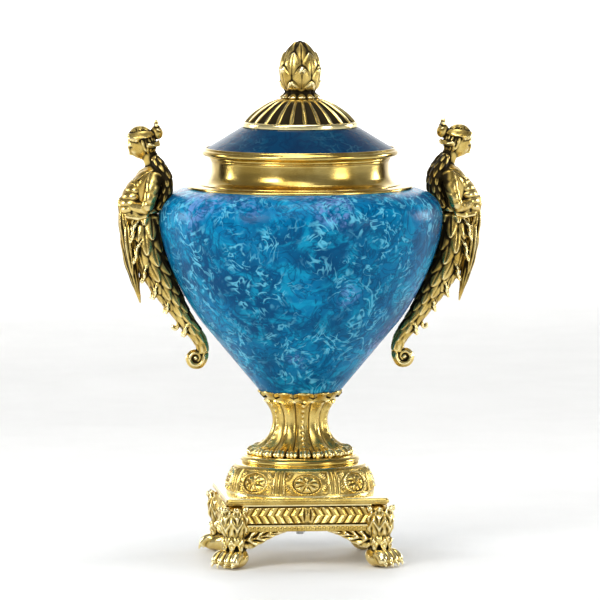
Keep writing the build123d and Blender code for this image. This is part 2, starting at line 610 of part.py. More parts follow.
def make_frieze(angle):
    """Laurel strip: leaves run from both ends and meet in the middle."""
    half = PLINTH_HALF - CORNER_CUT
    height = PLINTH_HEIGHT - BASE_BAND
    back = 0.5 * FRIEZE_THICK
    bottom = FOOT_HEIGHT + BASE_BAND
    strip = Pos(0, -back / 2, bottom + height / 2) * Box(2 * half, back, height)
    pitch = half / LEAVES_PER_HALF
    arm, rise = 0.55 * pitch, 0.36 * height
    leaf = extrude(Plane.XZ * make_face(Polyline(
        (0, -rise), (arm, -rise), (arm + pitch * 0.55, 0), (arm, rise), (0, rise), (pitch * 0.55, 0),
        close=True)), FRIEZE_THICK)
    for i in range(LEAVES_PER_HALF):
        x = pitch * (i + 0.25) - half
        for side in (leaf, mirrored(leaf)):
            place = x if side is leaf else -x
            strip += Pos(place, 0, bottom + height / 2) * side
    return Rot(0, 0, angle) * one_solid(within_corners(Pos(0, -PLINTH_HALF, 0) * strip))


def make_foot(angle):
    """Lion's paw, leg, knee leaf and two brackets, built along +X and turned to its corner."""
    back = CORNER_REACH
    paw_x = back + PAW_OUT
    pad = Pos(paw_x, 0, PAW_HEIGHT / 2) * Cylinder(PAW_RADIUS, PAW_HEIGHT)
    foot = fillet(pad.edges().group_by(Axis.Z)[-1], 0.42 * PAW_RADIUS)
    spread = PAW_RADIUS - 0.75 * TOE_RADIUS
    for i in range(4):
        side = spread * (2 * i / 3 - 1)
        tip = paw_x + TOE_REACH - 0.022 * side * side
        foot += rod_between(TOE_RADIUS, (paw_x, side * 0.8, TOE_RADIUS + 1.5), (tip, side, TOE_RADIUS - 0.6))
    leg_sections = [
        Pos(paw_x - 1.0, 0, 0.6 * PAW_HEIGHT) * Ellipse(9.5, 10.0),
        Pos(paw_x - 1.5, 0, PAW_HEIGHT + 5.0) * Ellipse(8.0, 8.0),
        Pos(back + 0.3 * KNEE_HALF, 0, FOOT_HEIGHT + 3.0) * Ellipse(KNEE_HALF, KNEE_HALF),
        Pos(back + 0.2 * KNEE_HALF, 0, FOOT_HEIGHT + 0.55 * PLINTH_HEIGHT) * Ellipse(KNEE_HALF, KNEE_HALF),
        Pos(back - 0.1 * KNEE_HALF, 0, PLATE_Z - 1.0) * Ellipse(0.7 * KNEE_HALF, 0.8 * KNEE_HALF),
    ]
    foot += loft([section.face() for section in leg_sections])
    foot += Pos(SCREW_REACH + 2.0, 0, FOOT_HEIGHT - 6.0) * Cylinder(8.5, 12.0)
    curl_x = back + 10.0
    foot += Pos(curl_x, 0, PLATE_Z - 5.0) * Rot(90, 0, 0) * Cylinder(3.2, 9.0)
    foot += Pos(curl_x - 5.0, 0, PLATE_Z - 6.0) * Box(10.0, 6.0, 4.0)
    side_y = BRACKET_THICK / 2
    arch = ThreePointArc((0, -BRACKET_DROP), (0.4 * BRACKET_REACH, -0.45 * BRACKET_DROP), (BRACKET_REACH, 0))
    bracket = extrude(Plane.XZ * make_face(
        Line((0, 0), (0, -BRACKET_DROP)).edges() + arch.edges()
        + Line((BRACKET_REACH, 0), (0, 0)).edges()), side_y, both=True)
    corner = Pos(sqrt(2) * (PLINTH_HALF - side_y), 0, 0)
    for turn in (135, -135):
        inward = corner * Rot(0, 0, turn) * Pos(CORNER_CUT / 2, 0, FOOT_HEIGHT) * bracket
        foot += inward
    below = Pos(0, 0, -500) * Box(2000, 2000, 1000)
    plinth_space = Pos(0, 0, FOOT_HEIGHT + 250) * Box(2 * back, 2000, 500)
    plate_space = Pos(0, 0, PLATE_Z + 250) * Box(2000, 2000, 500)
    foot = foot - below - plinth_space - plate_space
    hole_depth = 12.0
    foot -= Pos(SCREW_REACH, 0, FOOT_HEIGHT - hole_depth / 2) * Cylinder(STUD_GRIP_R, hole_depth)
    return Rot(0, 0, angle) * one_solid(foot)


# ---------------------------------------------------------------- fasteners
def make_foot_screws():
    """Four cheese-head screws, from inside the plinth box down into the feet."""
    head_z = FOOT_HEIGHT + PLINTH_WALL
    length = PLINTH_WALL + 10.0
    screw = Pos(0, 0, head_z - length / 2) * Cylinder(STUD_R, length)
    screw += Pos(0, 0, head_z + 1.5) * Cylinder(2 * STUD_R, 3.0)
    screw -= Pos(0, 0, head_z + 2.5) * Box(5 * STUD_R, 1.0, 1.2)
    return [Rot(0, 0, angle) * Pos(SCREW_REACH, 0, 0) * screw for angle in around(4, 45.0)]


def rod_ends():
    """Bottom and top of the tie rod."""
    bottom = FOOT_HEIGHT - WASHER_HEIGHT - NUT_HEIGHT - 2.0
    top = SEAT_Z + BODY_FLOOR + 2 * WASHER_HEIGHT + NUT_HEIGHT + 3.0
    return bottom, top


def make_tie_rod():
    bottom, top = rod_ends()
    return Pos(0, 0, (bottom + top) / 2) * Cylinder(ROD_R, top - bottom)


def make_bottom_washer():
    return tube(WASHER_R, ROD_GRIP_R, FOOT_HEIGHT - WASHER_HEIGHT, FOOT_HEIGHT)


def make_bottom_nut():
    return Pos(0, 0, FOOT_HEIGHT - WASHER_HEIGHT - NUT_HEIGHT) * hex_nut(NUT_FLAT_R, NUT_HEIGHT, ROD_GRIP_R)


def make_cork_washer():
    floor_z = SEAT_Z + BODY_FLOOR
    return tube(WASHER_R, ROD_GRIP_R, floor_z, floor_z + WASHER_HEIGHT)


def make_top_washer():
    bottom = SEAT_Z + BODY_FLOOR + WASHER_HEIGHT
    return tube(WASHER_R - 1.0, ROD_GRIP_R, bottom, bottom + WASHER_HEIGHT)


def make_top_nut():
    bottom = SEAT_Z + BODY_FLOOR + 2 * WASHER_HEIGHT
    return Pos(0, 0, bottom) * hex_nut(NUT_FLAT_R, NUT_HEIGHT, ROD_GRIP_R)


def inside_stack():
    """Depth of the handle fasteners inside the wall: cork saddle, washer, nut and stud end."""
    saddle = SADDLE_HEIGHT
    washer = saddle + SMALL_WASHER_HEIGHT
    nut = washer + SMALL_NUT_HEIGHT
    return saddle, washer, nut, nut + 1.5


def make_handle_saddles(vessel):
    """Cork pads that fit the curved inside of the wall and give the washers a flat seat."""
    saddle = inside_stack()[0]
    ring = Cylinder(SMALL_WASHER_R, 2 * saddle) - Cylinder(STUD_GRIP_R, 10 * saddle)
    return [one_solid(shape - vessel) for shape in on_studs(lambda plane: plane * Pos(0, 0, -WALL) * ring)]


def make_handle_washers():
    saddle, washer, _, _ = inside_stack()
    ring = Cylinder(SMALL_WASHER_R, SMALL_WASHER_HEIGHT) - Cylinder(STUD_GRIP_R, 10.0)
    return on_studs(lambda plane: plane * Pos(0, 0, -WALL - (saddle + washer) / 2) * ring)


def make_handle_nuts():
    nut_depth = inside_stack()[2]
    return on_studs(lambda plane: plane * Pos(0, 0, -WALL - nut_depth) * hex_nut(
        SMALL_NUT_FLAT_R, SMALL_NUT_HEIGHT, STUD_GRIP_R))


def make_handle_studs():
    end_depth = WALL + inside_stack()[3]
    length = end_depth + STUD_IN_CASTING
    return on_studs(lambda plane: plane * Pos(0, 0, length / 2 - end_depth) * Cylinder(STUD_R, length))


def cut_stud_holes(casting):
    """Tapped holes for the studs in a casting on the +X side."""
    depth = STUD_IN_CASTING + 1.0
    for point, way in stud_axes():
        casting -= Plane(origin=point, z_dir=way) * Pos(0, 0, depth / 2) * Cylinder(STUD_GRIP_R, depth + 8.0)
    return casting


# ---------------------------------------------------------------- handle on the +X side
def section(x, z, half_x, half_y):
    """A level oval slice of a casting."""
    return (Pos(x, 0, z) * Ellipse(half_x, half_y)).face()


def on_handle(place, side=1):
    """A place of the handle's table in the urn's frame; side -1 is its twin across the middle."""
    return BELLY_R + place[0], side * place[1], BELLY_Z + place[2]


def lofted(slices):
    """A casting through oval slices of a handle table."""
    return loft([section(BELLY_R + out, BELLY_Z + up, half_x, half_y) for out, up, half_x, half_y in slices])


def make_figure():
    """Draped half-figure: head, knot of hair, folded wings at the back, arms and clasped hands."""
    figure = lofted(TORSO_SLICES) + rod_between(THROAT_R, on_handle(NECK_ROOT), on_handle(HEAD))
    figure += ball(HEAD_R, *on_handle(HEAD)) + ball(JAW_R, *on_handle(JAW))
    figure += ball(KNOT_R, *on_handle(KNOT)) + rod_between(KNOT_STEM_R, on_handle(KNOT_ROOT), on_handle(KNOT))
    for side in (-1, 1):
        figure += rod_between(UPPER_ARM_R, on_handle(SHOULDER, side), on_handle(ELBOW, side))
        figure += rod_between(FOREARM_R, on_handle(ELBOW, side), on_handle(HAND, side))
        figure += ball(BREAST_R, *on_handle(BREAST, side))
        figure += Pos(0, side * WING_SIDE, 0) * lofted(WING_SLICES)
    hand_x, _, hand_z = on_handle(HAND)
    figure += ball(HAND_R, hand_x, 0, hand_z)
    return one_solid(cut_stud_holes(figure - vessel_space()))


def make_tail():
    """Leafy tail that follows the vessel's side and ends in an outward scroll."""
    slices = []
    for drop, gap, half_x, half_y in TAIL_SLICES:
        z = BELLY_Z + WAIST_RISE - drop
        x = vessel_radius(min(z, BELLY_Z)) + gap
        slices.append(section(x, z, half_x, half_y))
    tail = loft(slices)
    tip_r = TAIL_SLICES[-1][2]
    eye = (x + SCROLL_R, 0, z)
    tip_angle = radians(180.0 + SCROLL_TURN)
    tail += revolve(Pos(x, 0, z) * Circle(tip_r), Axis(eye, (0, -1, 0)), SCROLL_TURN)
    tail += ball(1.1 * tip_r, eye[0] + SCROLL_R * cos(tip_angle), 0, eye[2] + SCROLL_R * sin(tip_angle))
    lower_point, lower_way = stud_axes()[1]
    tail += Plane(origin=lower_point, z_dir=lower_way) * Pos(0, 0, 4.0) * Cylinder(STUD_BOSS_R, 12.0)
    return one_solid(cut_stud_holes(tail - vessel_space()))


def make_sash(figure, tail):
    """Pleated end of the sash, hanging from the hands to a point."""
    return one_solid(lofted(SASH_SLICES) - figure - tail)


# ---------------------------------------------------------------- assembly
def nodes():
    """Every node's name with its shape, or its list of separate solids."""
    vessel, drum = make_vessel(), make_drum()
    stem_lower, stem_upper = make_stem()
    lid_cone, lid_crown = lid_halves(make_lid_shell())
    figure, tail = make_figure(), make_tail()
    sash = make_sash(figure, tail)
    built = {
        **vessel_rings(vessel), "neck_collar": make_collar(),
        "lid_cone": lid_cone, "lid_crown": lid_crown,
        "lid_rim": make_lid_rim(), "lid_flange": make_lid_flange(),
        "lid_cap": make_lid_cap(), "finial": make_finial(), "finial_stud": make_finial_stud(),
        "lid_washer": make_lid_washer(), "lid_nut": make_lid_nut(),
        "vessel_cup": make_cup(), "stem_lower": stem_lower, "stem_upper": stem_upper,
        "base_ring": make_ring(), "base_drum": drum,
        "plinth_plate": make_plate(), "plinth_box": make_plinth(), "foot_screws": make_foot_screws(),
        "tie_rod": make_tie_rod(), "tie_rod_bottom_washer": make_bottom_washer(),
        "tie_rod_bottom_nut": make_bottom_nut(), "tie_rod_cork_washer": make_cork_washer(),
        "tie_rod_top_washer": make_top_washer(), "tie_rod_top_nut": make_top_nut(),
        "handle_studs": make_handle_studs(), "handle_cork_saddles": make_handle_saddles(vessel),
        "handle_washers": make_handle_washers(), "handle_nuts": make_handle_nuts(),
        "handle_right_figure": figure, "handle_right_tail": tail, "handle_right_sash": sash,
        "handle_left_figure": mirrored(figure), "handle_left_tail": mirrored(tail),
        "handle_left_sash": mirrored(sash),
    }
    for i, angle in enumerate(around(ROSETTES, -90.0)):
        built[f"rosette_{i + 1}"] = make_rosette(drum, angle)
    for name, angle in (("front", 0), ("right", 90), ("back", 180), ("left", 270)):
        built[f"frieze_{name}"] = make_frieze(angle)
    for name, angle in (("back_right", 45), ("back_left", 135), ("front_left", 225), ("front_right", 315)):
        built[f"foot_{name}"] = make_foot(angle)
    return built


def main():
    os.makedirs("parts", exist_ok=True)
    for name, shape in nodes().items():
        solids = shape if isinstance(shape, list) else shape.solids()
        whole = Compound(children=[solid for part in solids for solid in part.solids()])
        export_step(whole, f"parts/{name}.step")


main()
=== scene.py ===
# %% [markdown]
# # A covered urn in gilt mounts
# The urn is a glazed vessel and lid held in cast and turned gilt mounts, with a half-figure on each side as
# a handle. The CAD model is the frame: it says where every piece sits and what moves. Blender gives each
# visible piece its finer surface and its finish, and never moves a CAD piece.

# %% The frame
from math import cos, pi, radians, sin, sqrt

import bmesh
import bpy
import numpy as np
from mathutils import Matrix, Vector


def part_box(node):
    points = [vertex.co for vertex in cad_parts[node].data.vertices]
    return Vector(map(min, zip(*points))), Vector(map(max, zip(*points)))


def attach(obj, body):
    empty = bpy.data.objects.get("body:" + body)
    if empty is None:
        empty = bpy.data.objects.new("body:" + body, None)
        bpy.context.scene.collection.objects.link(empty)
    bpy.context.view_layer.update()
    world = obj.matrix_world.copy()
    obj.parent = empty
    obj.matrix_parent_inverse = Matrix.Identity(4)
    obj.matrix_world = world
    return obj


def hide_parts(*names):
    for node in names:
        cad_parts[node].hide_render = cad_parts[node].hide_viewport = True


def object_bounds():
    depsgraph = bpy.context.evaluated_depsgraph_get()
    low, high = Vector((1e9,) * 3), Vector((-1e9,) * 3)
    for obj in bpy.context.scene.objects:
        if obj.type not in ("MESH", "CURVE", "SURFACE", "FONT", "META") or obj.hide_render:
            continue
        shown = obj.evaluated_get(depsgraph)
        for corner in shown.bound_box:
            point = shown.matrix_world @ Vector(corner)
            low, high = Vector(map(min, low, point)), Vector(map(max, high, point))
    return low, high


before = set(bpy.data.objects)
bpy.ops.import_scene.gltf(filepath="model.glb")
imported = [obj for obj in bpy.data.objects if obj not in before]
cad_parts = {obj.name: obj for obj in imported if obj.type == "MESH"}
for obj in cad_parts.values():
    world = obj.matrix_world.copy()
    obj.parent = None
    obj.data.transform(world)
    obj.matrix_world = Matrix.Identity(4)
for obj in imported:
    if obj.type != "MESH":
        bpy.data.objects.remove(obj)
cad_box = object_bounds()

MM = 0.001      # all shapes below are worked out in millimetres


def extent(node):
    """Lowest and highest corner of a CAD node in millimetres."""
    low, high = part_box(node)
    return np.array(low) / MM, np.array(high) / MM


print("CAD box in mm:", [[round(value / MM, 1) for value in corner] for corner in cad_box])

# %% [markdown]
# ## Surfaces from arrays
# Every piece is one or more closed surfaces. A surface is a grid of points: the rows run along the piece and
# the columns run round it, so the last column meets the first. Numpy works out all the points at once, and
# the quads between neighbouring points follow from their numbers. Rows drawn in to a point close the ends.

# %% Grid to mesh
def quads(rows, columns, ring):
    """Corners of the quads of a grid: point (i, j) is number i * columns + j; ring joins the last row to
    the first, as on a washer."""
    i, j = np.meshgrid(np.arange(rows if ring else rows - 1), np.arange(columns), indexing="ij")
    above, beside = (i + 1) % rows, (j + 1) % columns
    corners = [i * columns + j, i * columns + beside, above * columns + beside, above * columns + j]
    return np.stack(corners, -1).reshape(-1, 4)


def capped(points):
    """Close both ends of a tube: a first and a last row at the middle of the end rows."""
    first = np.repeat(points[:1].mean(axis=1, keepdims=True), points.shape[1], axis=1)
    last = np.repeat(points[-1:].mean(axis=1, keepdims=True), points.shape[1], axis=1)
    return np.concatenate([first, points, last])


def mesh_from(name, surfaces):
    """One mesh from several grids, each (points in mm, ring); meeting points are merged, faces turned out."""
    points, faces, count = [], [], 0
    for grid, ring in surfaces:
        faces.append(quads(grid.shape[0], grid.shape[1], ring) + count)
        points.append(grid.reshape(-1, 3))
        count += grid.shape[0] * grid.shape[1]
    points, faces = np.concatenate(points) * MM, np.concatenate(faces)
    mesh = bpy.data.meshes.new(name)
    mesh.vertices.add(len(points))
    mesh.vertices.foreach_set("co", points.astype(np.float32).ravel())
    mesh.loops.add(faces.size)
    mesh.loops.foreach_set("vertex_index", faces.astype(np.int32).ravel())
    mesh.polygons.add(len(faces))
    mesh.polygons.foreach_set("loop_start", np.arange(0, faces.size, 4, dtype=np.int32))
    mesh.update(calc_edges=True)
    work = bmesh.new()
    work.from_mesh(mesh)
    bmesh.ops.remove_doubles(work, verts=work.verts, dist=0.002 * MM)
    bmesh.ops.recalc_face_normals(work, faces=work.faces)
    work.to_mesh(mesh)
    work.free()
    return mesh


# %% [markdown]
# Cast figures and paws are many rounded forms grown together. Separate surfaces are joined by a voxel
# remesh, which keeps only the outside skin, and a light smoothing softens the steps that it leaves, as
# chasing and burnishing do on metal.

# %% Fusing and smoothing
def averaged(values, edges, passes, share=0.5):
    """Each pass moves every vertex's value part of the way to the mean of its neighbours' values."""
    values = values.copy()
    count = len(values)
    degree = np.maximum(np.bincount(edges.ravel(), minlength=count), 1)[:, None]
    for _ in range(passes):
        total = np.stack([np.bincount(edges[:, 0], values[edges[:, 1], k], count)
                          + np.bincount(edges[:, 1], values[edges[:, 0], k], count) for k in range(3)], -1)
        values += share * (total / degree - values)
    return values


def coordinates(mesh):
    """Vertex places, vertex normals and edges of a mesh as arrays."""
    place = np.empty(len(mesh.vertices) * 3, np.float32)
    normal = np.empty(len(mesh.vertices) * 3, np.float32)
    edges = np.empty(len(mesh.edges) * 2, np.int32)
    mesh.vertices.foreach_get("co", place)
    mesh.vertices.foreach_get("normal", normal)
    mesh.edges.foreach_get("vertices", edges)
    return place.reshape(-1, 3).astype(float), normal.reshape(-1, 3), edges.reshape(-1, 2)


def fused(mesh, voxel, passes):
    """One skin round overlapping closed surfaces: voxel size in mm, then smoothing passes."""
    carrier = bpy.data.objects.new("fusing", mesh)
    bpy.context.scene.collection.objects.link(carrier)
    remesh = carrier.modifiers.new("skin", "REMESH")
    remesh.mode = "VOXEL"
    remesh.voxel_size = voxel * MM
    skin = bpy.data.meshes.new_from_object(carrier.evaluated_get(bpy.context.evaluated_depsgraph_get()))
    bpy.data.objects.remove(carrier)
    place, _, edges = coordinates(skin)
    skin.vertices.foreach_set("co", averaged(place, edges, passes).astype(np.float32).ravel())
    skin.update()
    return skin


# %% [markdown]
# Gilding looks old because the hollows stay dark while hands and cloths brighten the ridges. Each metal
# piece therefore carries an attribute, "relief": how far each vertex stands above or below the same surface
# smoothed over. Half is level, less is a hollow, more is a ridge. On some pieces painted shade is taken off
# it as well. The gilding material reads it.

# %% Relief attribute
def write_relief(mesh, spread, depth, stain_and_shade=None):
    """relief = 0.5 + height above the surface smoothed over `spread` mm, in units of `depth` mm, less the
    given darkening at each place in mm (wax, and on some pieces painted shade), kept to 0..1."""
    place, normal, edges = coordinates(mesh)
    edge = np.linalg.norm(place[edges[:, 0]] - place[edges[:, 1]], axis=1).mean() / MM
    passes = int(np.clip(2 * (spread / edge) ** 2, 4, 80))
    height = ((place - averaged(place, edges, passes)) * normal).sum(axis=1) / MM
    # the darkening given here is wax on some pieces and painted shade on others
    wax = 0 if stain_and_shade is None else stain_and_shade(place / MM)
    relief = mesh.attributes.new("relief", "FLOAT", "POINT")
    relief.data.foreach_set("value", np.clip(0.5 + height / depth - wax, 0, 1).astype(np.float32))


def add_piece(name, mesh, material, nodes, body="urn"):
    """Show a mesh as a piece that stands for CAD nodes and moves with their body."""
    piece = bpy.data.objects.new(name, mesh)
    bpy.context.scene.collection.objects.link(piece)
    mesh.materials.clear()
    mesh.materials.append(material)
    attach(piece, body)
    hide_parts(*nodes)
    triangles = sum(len(face.vertices) - 2 for face in mesh.polygons)
    print(f"{name}: {triangles} triangles")
    return piece


def make_piece(name, surfaces, material, nodes, body="urn", voxel=None, passes=2, spread=1.6, depth=0.9,
               stain_and_shade=None):
    """Build, fuse if asked, shade and add a piece."""
    mesh = mesh_from(name, surfaces)
    if voxel:
        mesh = fused(mesh, voxel, passes)
    mesh.polygons.foreach_set("use_smooth", np.ones(len(mesh.polygons), bool))
    if not voxel:
        mesh.set_sharp_from_angle(angle=radians(50))
    write_relief(mesh, spread, depth, stain_and_shade)
    return add_piece(name, mesh, material, nodes, body)


def copy_piece(piece, name, matrix, nodes, body="urn"):
    """The same mesh turned or mirrored into another place."""
    mesh = piece.data.copy()
    mesh.transform(matrix)
    if matrix.determinant() < 0:
        mesh.flip_normals()
    mesh.update()
    return add_piece(name, mesh, piece.data.materials[0], nodes, body)


# %% [markdown]
# ## Profiles
# A turned piece is drawn as half its outline, the way a turner cuts a template. Corners are rounded a
# little, because metal and glaze have no razor edges, and a rounded edge is what catches a highlight.

# %% Outline helpers
def bezier(a, b, c, d, steps=32):
    """Cubic Bezier curve: the four points weighted by the Bernstein polynomials."""
    t = np.linspace(0, 1, steps)[:, None]
    a, b, c, d = (np.array(point, float) for point in (a, b, c, d))
    return a * (1 - t) ** 3 + 3 * b * t * (1 - t) ** 2 + 3 * c * t * t * (1 - t) + d * t ** 3


def arc(centre, radius, start, end, steps=16):
    """Part of a circle between two angles in degrees."""
    angle = np.radians(np.linspace(start, end, steps))
    return np.stack([centre[0] + radius * np.cos(angle), centre[1] + radius * np.sin(angle)], -1)


def rounded(corners, radius=0.6, steps=4, closed=False):
    """Straight lines between corners, each corner replaced by a parabola that starts and ends near it."""
    corners = np.array(corners, float)
    if closed:
        corners = np.vstack([corners[-1], corners, corners[0]])
    t = np.linspace(0, 1, steps)[:, None]
    parts = [] if closed else [corners[:1]]
    for before, corner, after in zip(corners[:-2], corners[1:-1], corners[2:]):
        back, ahead = before - corner, after - corner
        start = corner + back * min(radius / np.linalg.norm(back), 0.45)
        end = corner + ahead * min(radius / np.linalg.norm(ahead), 0.45)
        parts.append(start * (1 - t) ** 2 + 2 * corner * t * (1 - t) + end * t * t)
    if not closed:
        parts.append(corners[-1:])
    return np.concatenate(parts)


def run_length(profile):
    """Distance along a path at each of its points."""
    return np.concatenate([[0], np.cumsum(np.linalg.norm(np.diff(profile, axis=0), axis=1))])


def evenly(profile, step):
    """Points about `step` apart along a path."""
    along = run_length(profile)
    places = np.linspace(0, along[-1], int(along[-1] / step) + 2)
    return np.stack([np.interp(places, along, profile[:, k]) for k in range(profile.shape[1])], -1)


def turned(profile, segments, relief=None):
    """Turned surface: the outline's point (r, z) at angle a goes to (r cos a, r sin a, z). relief(s, a) moves
    it along the outline's outward normal, s being the distance along the outline."""
    angle = np.linspace(0, 2 * pi, segments, endpoint=False)[None, :]
    r, z = profile[:, :1] + 0 * angle, profile[:, 1:] + 0 * angle
    if relief is not None:
        along = run_length(profile)[:, None]
        way = np.gradient(profile, axis=0)
        way /= np.maximum(np.linalg.norm(way, axis=1, keepdims=True), 1e-9)
        push = relief(along, angle)
        r, z = r + way[:, 1:] * push, z - way[:, :1] * push
    return np.stack([r * np.cos(angle), r * np.sin(angle), z], -1)


def smoothstep(low, high, value):
    """0 below low, 1 above high, and a smooth S between."""
    t = np.clip((value - low) / (high - low), 0, 1)
    return t * t * (3 - 2 * t)


def ribbed(angle, count, power=0.5, start=-pi / 2):
    """Round ribs with narrow grooves: |cos(count * angle / 2)| raised to a low power, 0 in a groove."""
    return np.abs(np.cos(count * (angle - start) / 2)) ** power


# %% [markdown]
# ## Finishes
# The same effects serve several materials, so they are node groups: one for old gilding and one for the
# mottled glaze. The groups give out only colours, masks and heights. Each material keeps its own shader.

# %% Node helper
def input_of(node, key):
    """A node's input by number, as in i0, or by name with underscores for spaces."""
    if key[0] == "i" and key[1:].isdigit():
        return node.inputs[int(key[1:])]
    return node.inputs[key.replace("_", " ")]


def fill(tree, socket, value):
    """Link a socket to another node's output, or set its value."""
    if isinstance(value, bpy.types.NodeSocket):
        tree.links.new(value, socket)
    else:
        socket.default_value = value


def wire(tree, kind, settings=None, **inputs):
    """Add a node, set its settings, and fill or link its inputs."""
    made = tree.nodes.new(kind)
    for key, value in (settings or {}).items():
        setattr(made, key, value)
    for key, value in inputs.items():
        fill(tree, input_of(made, key), value)
    return made


def blend(tree, share, first, second):
    """Mix two colours by a share."""
    made = tree.nodes.new("ShaderNodeMix")
    made.data_type = "RGBA"
    for number, value in ((0, share), (6, first), (7, second)):
        fill(tree, made.inputs[number], value)
    return made.outputs[2]


def calc(tree, operation, first, second=0.0, third=0.0, clamp=False):
    """One step of arithmetic."""
    made = wire(tree, "ShaderNodeMath", {"operation": operation, "use_clamp": clamp}, i0=first, i1=second,
                i2=third)
    return made.outputs[0]


def ramp(tree, value, low, high, out_low=0.0, out_high=1.0):
    """Smooth rise from out_low to out_high as value goes from low to high."""
    made = wire(tree, "ShaderNodeMapRange", {"interpolation_type": "SMOOTHSTEP"},
                Value=value, From_Min=low, From_Max=high, To_Min=out_low, To_Max=out_high)
    return made.outputs[0]


def noise(tree, place, scale, detail=2.0, rough=0.5, distortion=0.0):
    """Noise value at a place."""
    made = wire(tree, "ShaderNodeTexNoise", None, Vector=place, Scale=scale, Detail=detail, Roughness=rough,
                Distortion=distortion)
    return made.outputs["Fac"]


def ridge(tree, value, width):
    """1 where the value crosses one half, falling to 0 at `width` from it: turns noise into thin lines."""
    away = calc(tree, "ABSOLUTE", calc(tree, "SUBTRACT", value, 0.5))
    return ramp(tree, away, 0.0, width, 1.0, 0.0)


def new_group(name, inputs, outputs):
    """An empty node group with named sockets: inputs as (name, kind, default), outputs as (name, kind)."""
    tree = bpy.data.node_groups.new(name, "ShaderNodeTree")
    for label, kind, default in inputs:
        tree.interface.new_socket(label, in_out="INPUT", socket_type=kind).default_value = default
    for label, kind in outputs:
        tree.interface.new_socket(label, in_out="OUTPUT", socket_type=kind)
    return tree, tree.nodes.new("NodeGroupInput"), tree.nodes.new("NodeGroupOutput")


# %% Old gilding
GOLD = (0.76, 0.57, 0.18, 1)
GOLD_BRIGHT = (1.0, 0.86, 0.45, 1)
GOLD_RED = (0.52, 0.35, 0.08, 1)
PATINA = (0.018, 0.012, 0.003, 1)


def gilding_group():
    """Bright ridges, warm level ground with slow changes of tone, and brown-black wax in the hollows."""
    tree, given, out = new_group(
        "old_gilding",
        [("Relief", "NodeSocketFloat", 0.5), ("Patina", "NodeSocketFloat", 1.0),
         ("Roughness", "NodeSocketFloat", 0.26)],
        [("Colour", "NodeSocketColor"), ("Roughness", "NodeSocketFloat"), ("Metallic", "NodeSocketFloat"),
         ("Height", "NodeSocketFloat")])
    place = tree.nodes.new("ShaderNodeTexCoord").outputs["Object"]
    slow = noise(tree, place, 45.0, 3.0)
    fine = noise(tree, place, 900.0, 3.0, 0.6)
    spots = noise(tree, place, 260.0, 4.0, 0.65)
    level = calc(tree, "ADD", given.outputs["Relief"],
                 calc(tree, "MULTIPLY", calc(tree, "SUBTRACT", spots, 0.5), 0.22))
    hollow = calc(tree, "MULTIPLY", ramp(tree, level, 0.22, 0.53, 1.0, 0.0), given.outputs["Patina"])
    high = ramp(tree, level, 0.55, 0.85)
    ground = blend(tree, ramp(tree, slow, 0.35, 0.68), GOLD_RED, GOLD)
    ground = blend(tree, high, ground, GOLD_BRIGHT)
    tree.links.new(blend(tree, hollow, ground, PATINA), out.inputs["Colour"])
    rough = calc(tree, "ADD", given.outputs["Roughness"], calc(tree, "MULTIPLY", hollow, 0.38))
    rough = calc(tree, "SUBTRACT", rough, calc(tree, "MULTIPLY", high, 0.07))
    rough = calc(tree, "ADD", rough, calc(tree, "MULTIPLY", calc(tree, "SUBTRACT", spots, 0.5), 0.16),
                 clamp=True)
    tree.links.new(rough, out.inputs["Roughness"])
    tree.links.new(calc(tree, "SUBTRACT", 1.0, calc(tree, "MULTIPLY", hollow, 0.55)), out.inputs["Metallic"])
    height = calc(tree, "ADD", calc(tree, "MULTIPLY", fine, 0.35), calc(tree, "MULTIPLY", spots, 0.65))
    tree.links.new(height, out.inputs["Height"])
    return tree


def new_material(name):
    """An empty material with a Principled shader wired to its output."""
    material = bpy.data.materials.new(name)
    material.use_nodes = True
    return material, material.node_tree, material.node_tree.nodes["Principled BSDF"]


def gilt_material(name, roughness, patina, bump):
    """A gilt finish: the shared gilding group driven by the piece's relief attribute."""
    material, tree, shader = new_material(name)
    relief = wire(tree, "ShaderNodeAttribute", {"attribute_name": "relief"}).outputs["Fac"]
    gilding = wire(tree, "ShaderNodeGroup", {"node_tree": GILDING}, Relief=relief, Patina=patina,
                   Roughness=roughness)
    tree.links.new(gilding.outputs["Colour"], shader.inputs["Base Color"])
    tree.links.new(gilding.outputs["Roughness"], shader.inputs["Roughness"])
    tree.links.new(gilding.outputs["Metallic"], shader.inputs["Metallic"])
    uneven = wire(tree, "ShaderNodeBump", None, Strength=bump, Distance=0.0004,
                  Height=gilding.outputs["Height"])
    tree.links.new(uneven.outputs["Normal"], shader.inputs["Normal"])
    shader.inputs["Specular IOR Level"].default_value = 0.12
    return material


GILDING = gilding_group()
gilt_cast = gilt_material("gilt_cast", 0.27, 1.0, 0.35)
gilt_polished = gilt_material("gilt_polished", 0.20, 0.75, 0.10)

# %% [markdown]
# The glaze is a deep azure with short curling wisps of paler and darker blue, a few lavender clouds and tiny
# pale flecks. Noise that has been pushed about by other noise curls like poured enamel; keeping only where it
# crosses one half turns it into thin wandering lines.

# %% Mottled glaze
DEEP = (0.0006, 0.060, 0.165, 1)
AZURE = (0.001, 0.165, 0.360, 1)
SKY = (0.006, 0.340, 0.560, 1)
PALE = (0.150, 0.600, 0.800, 1)
LAVENDER = (0.170, 0.270, 0.600, 1)


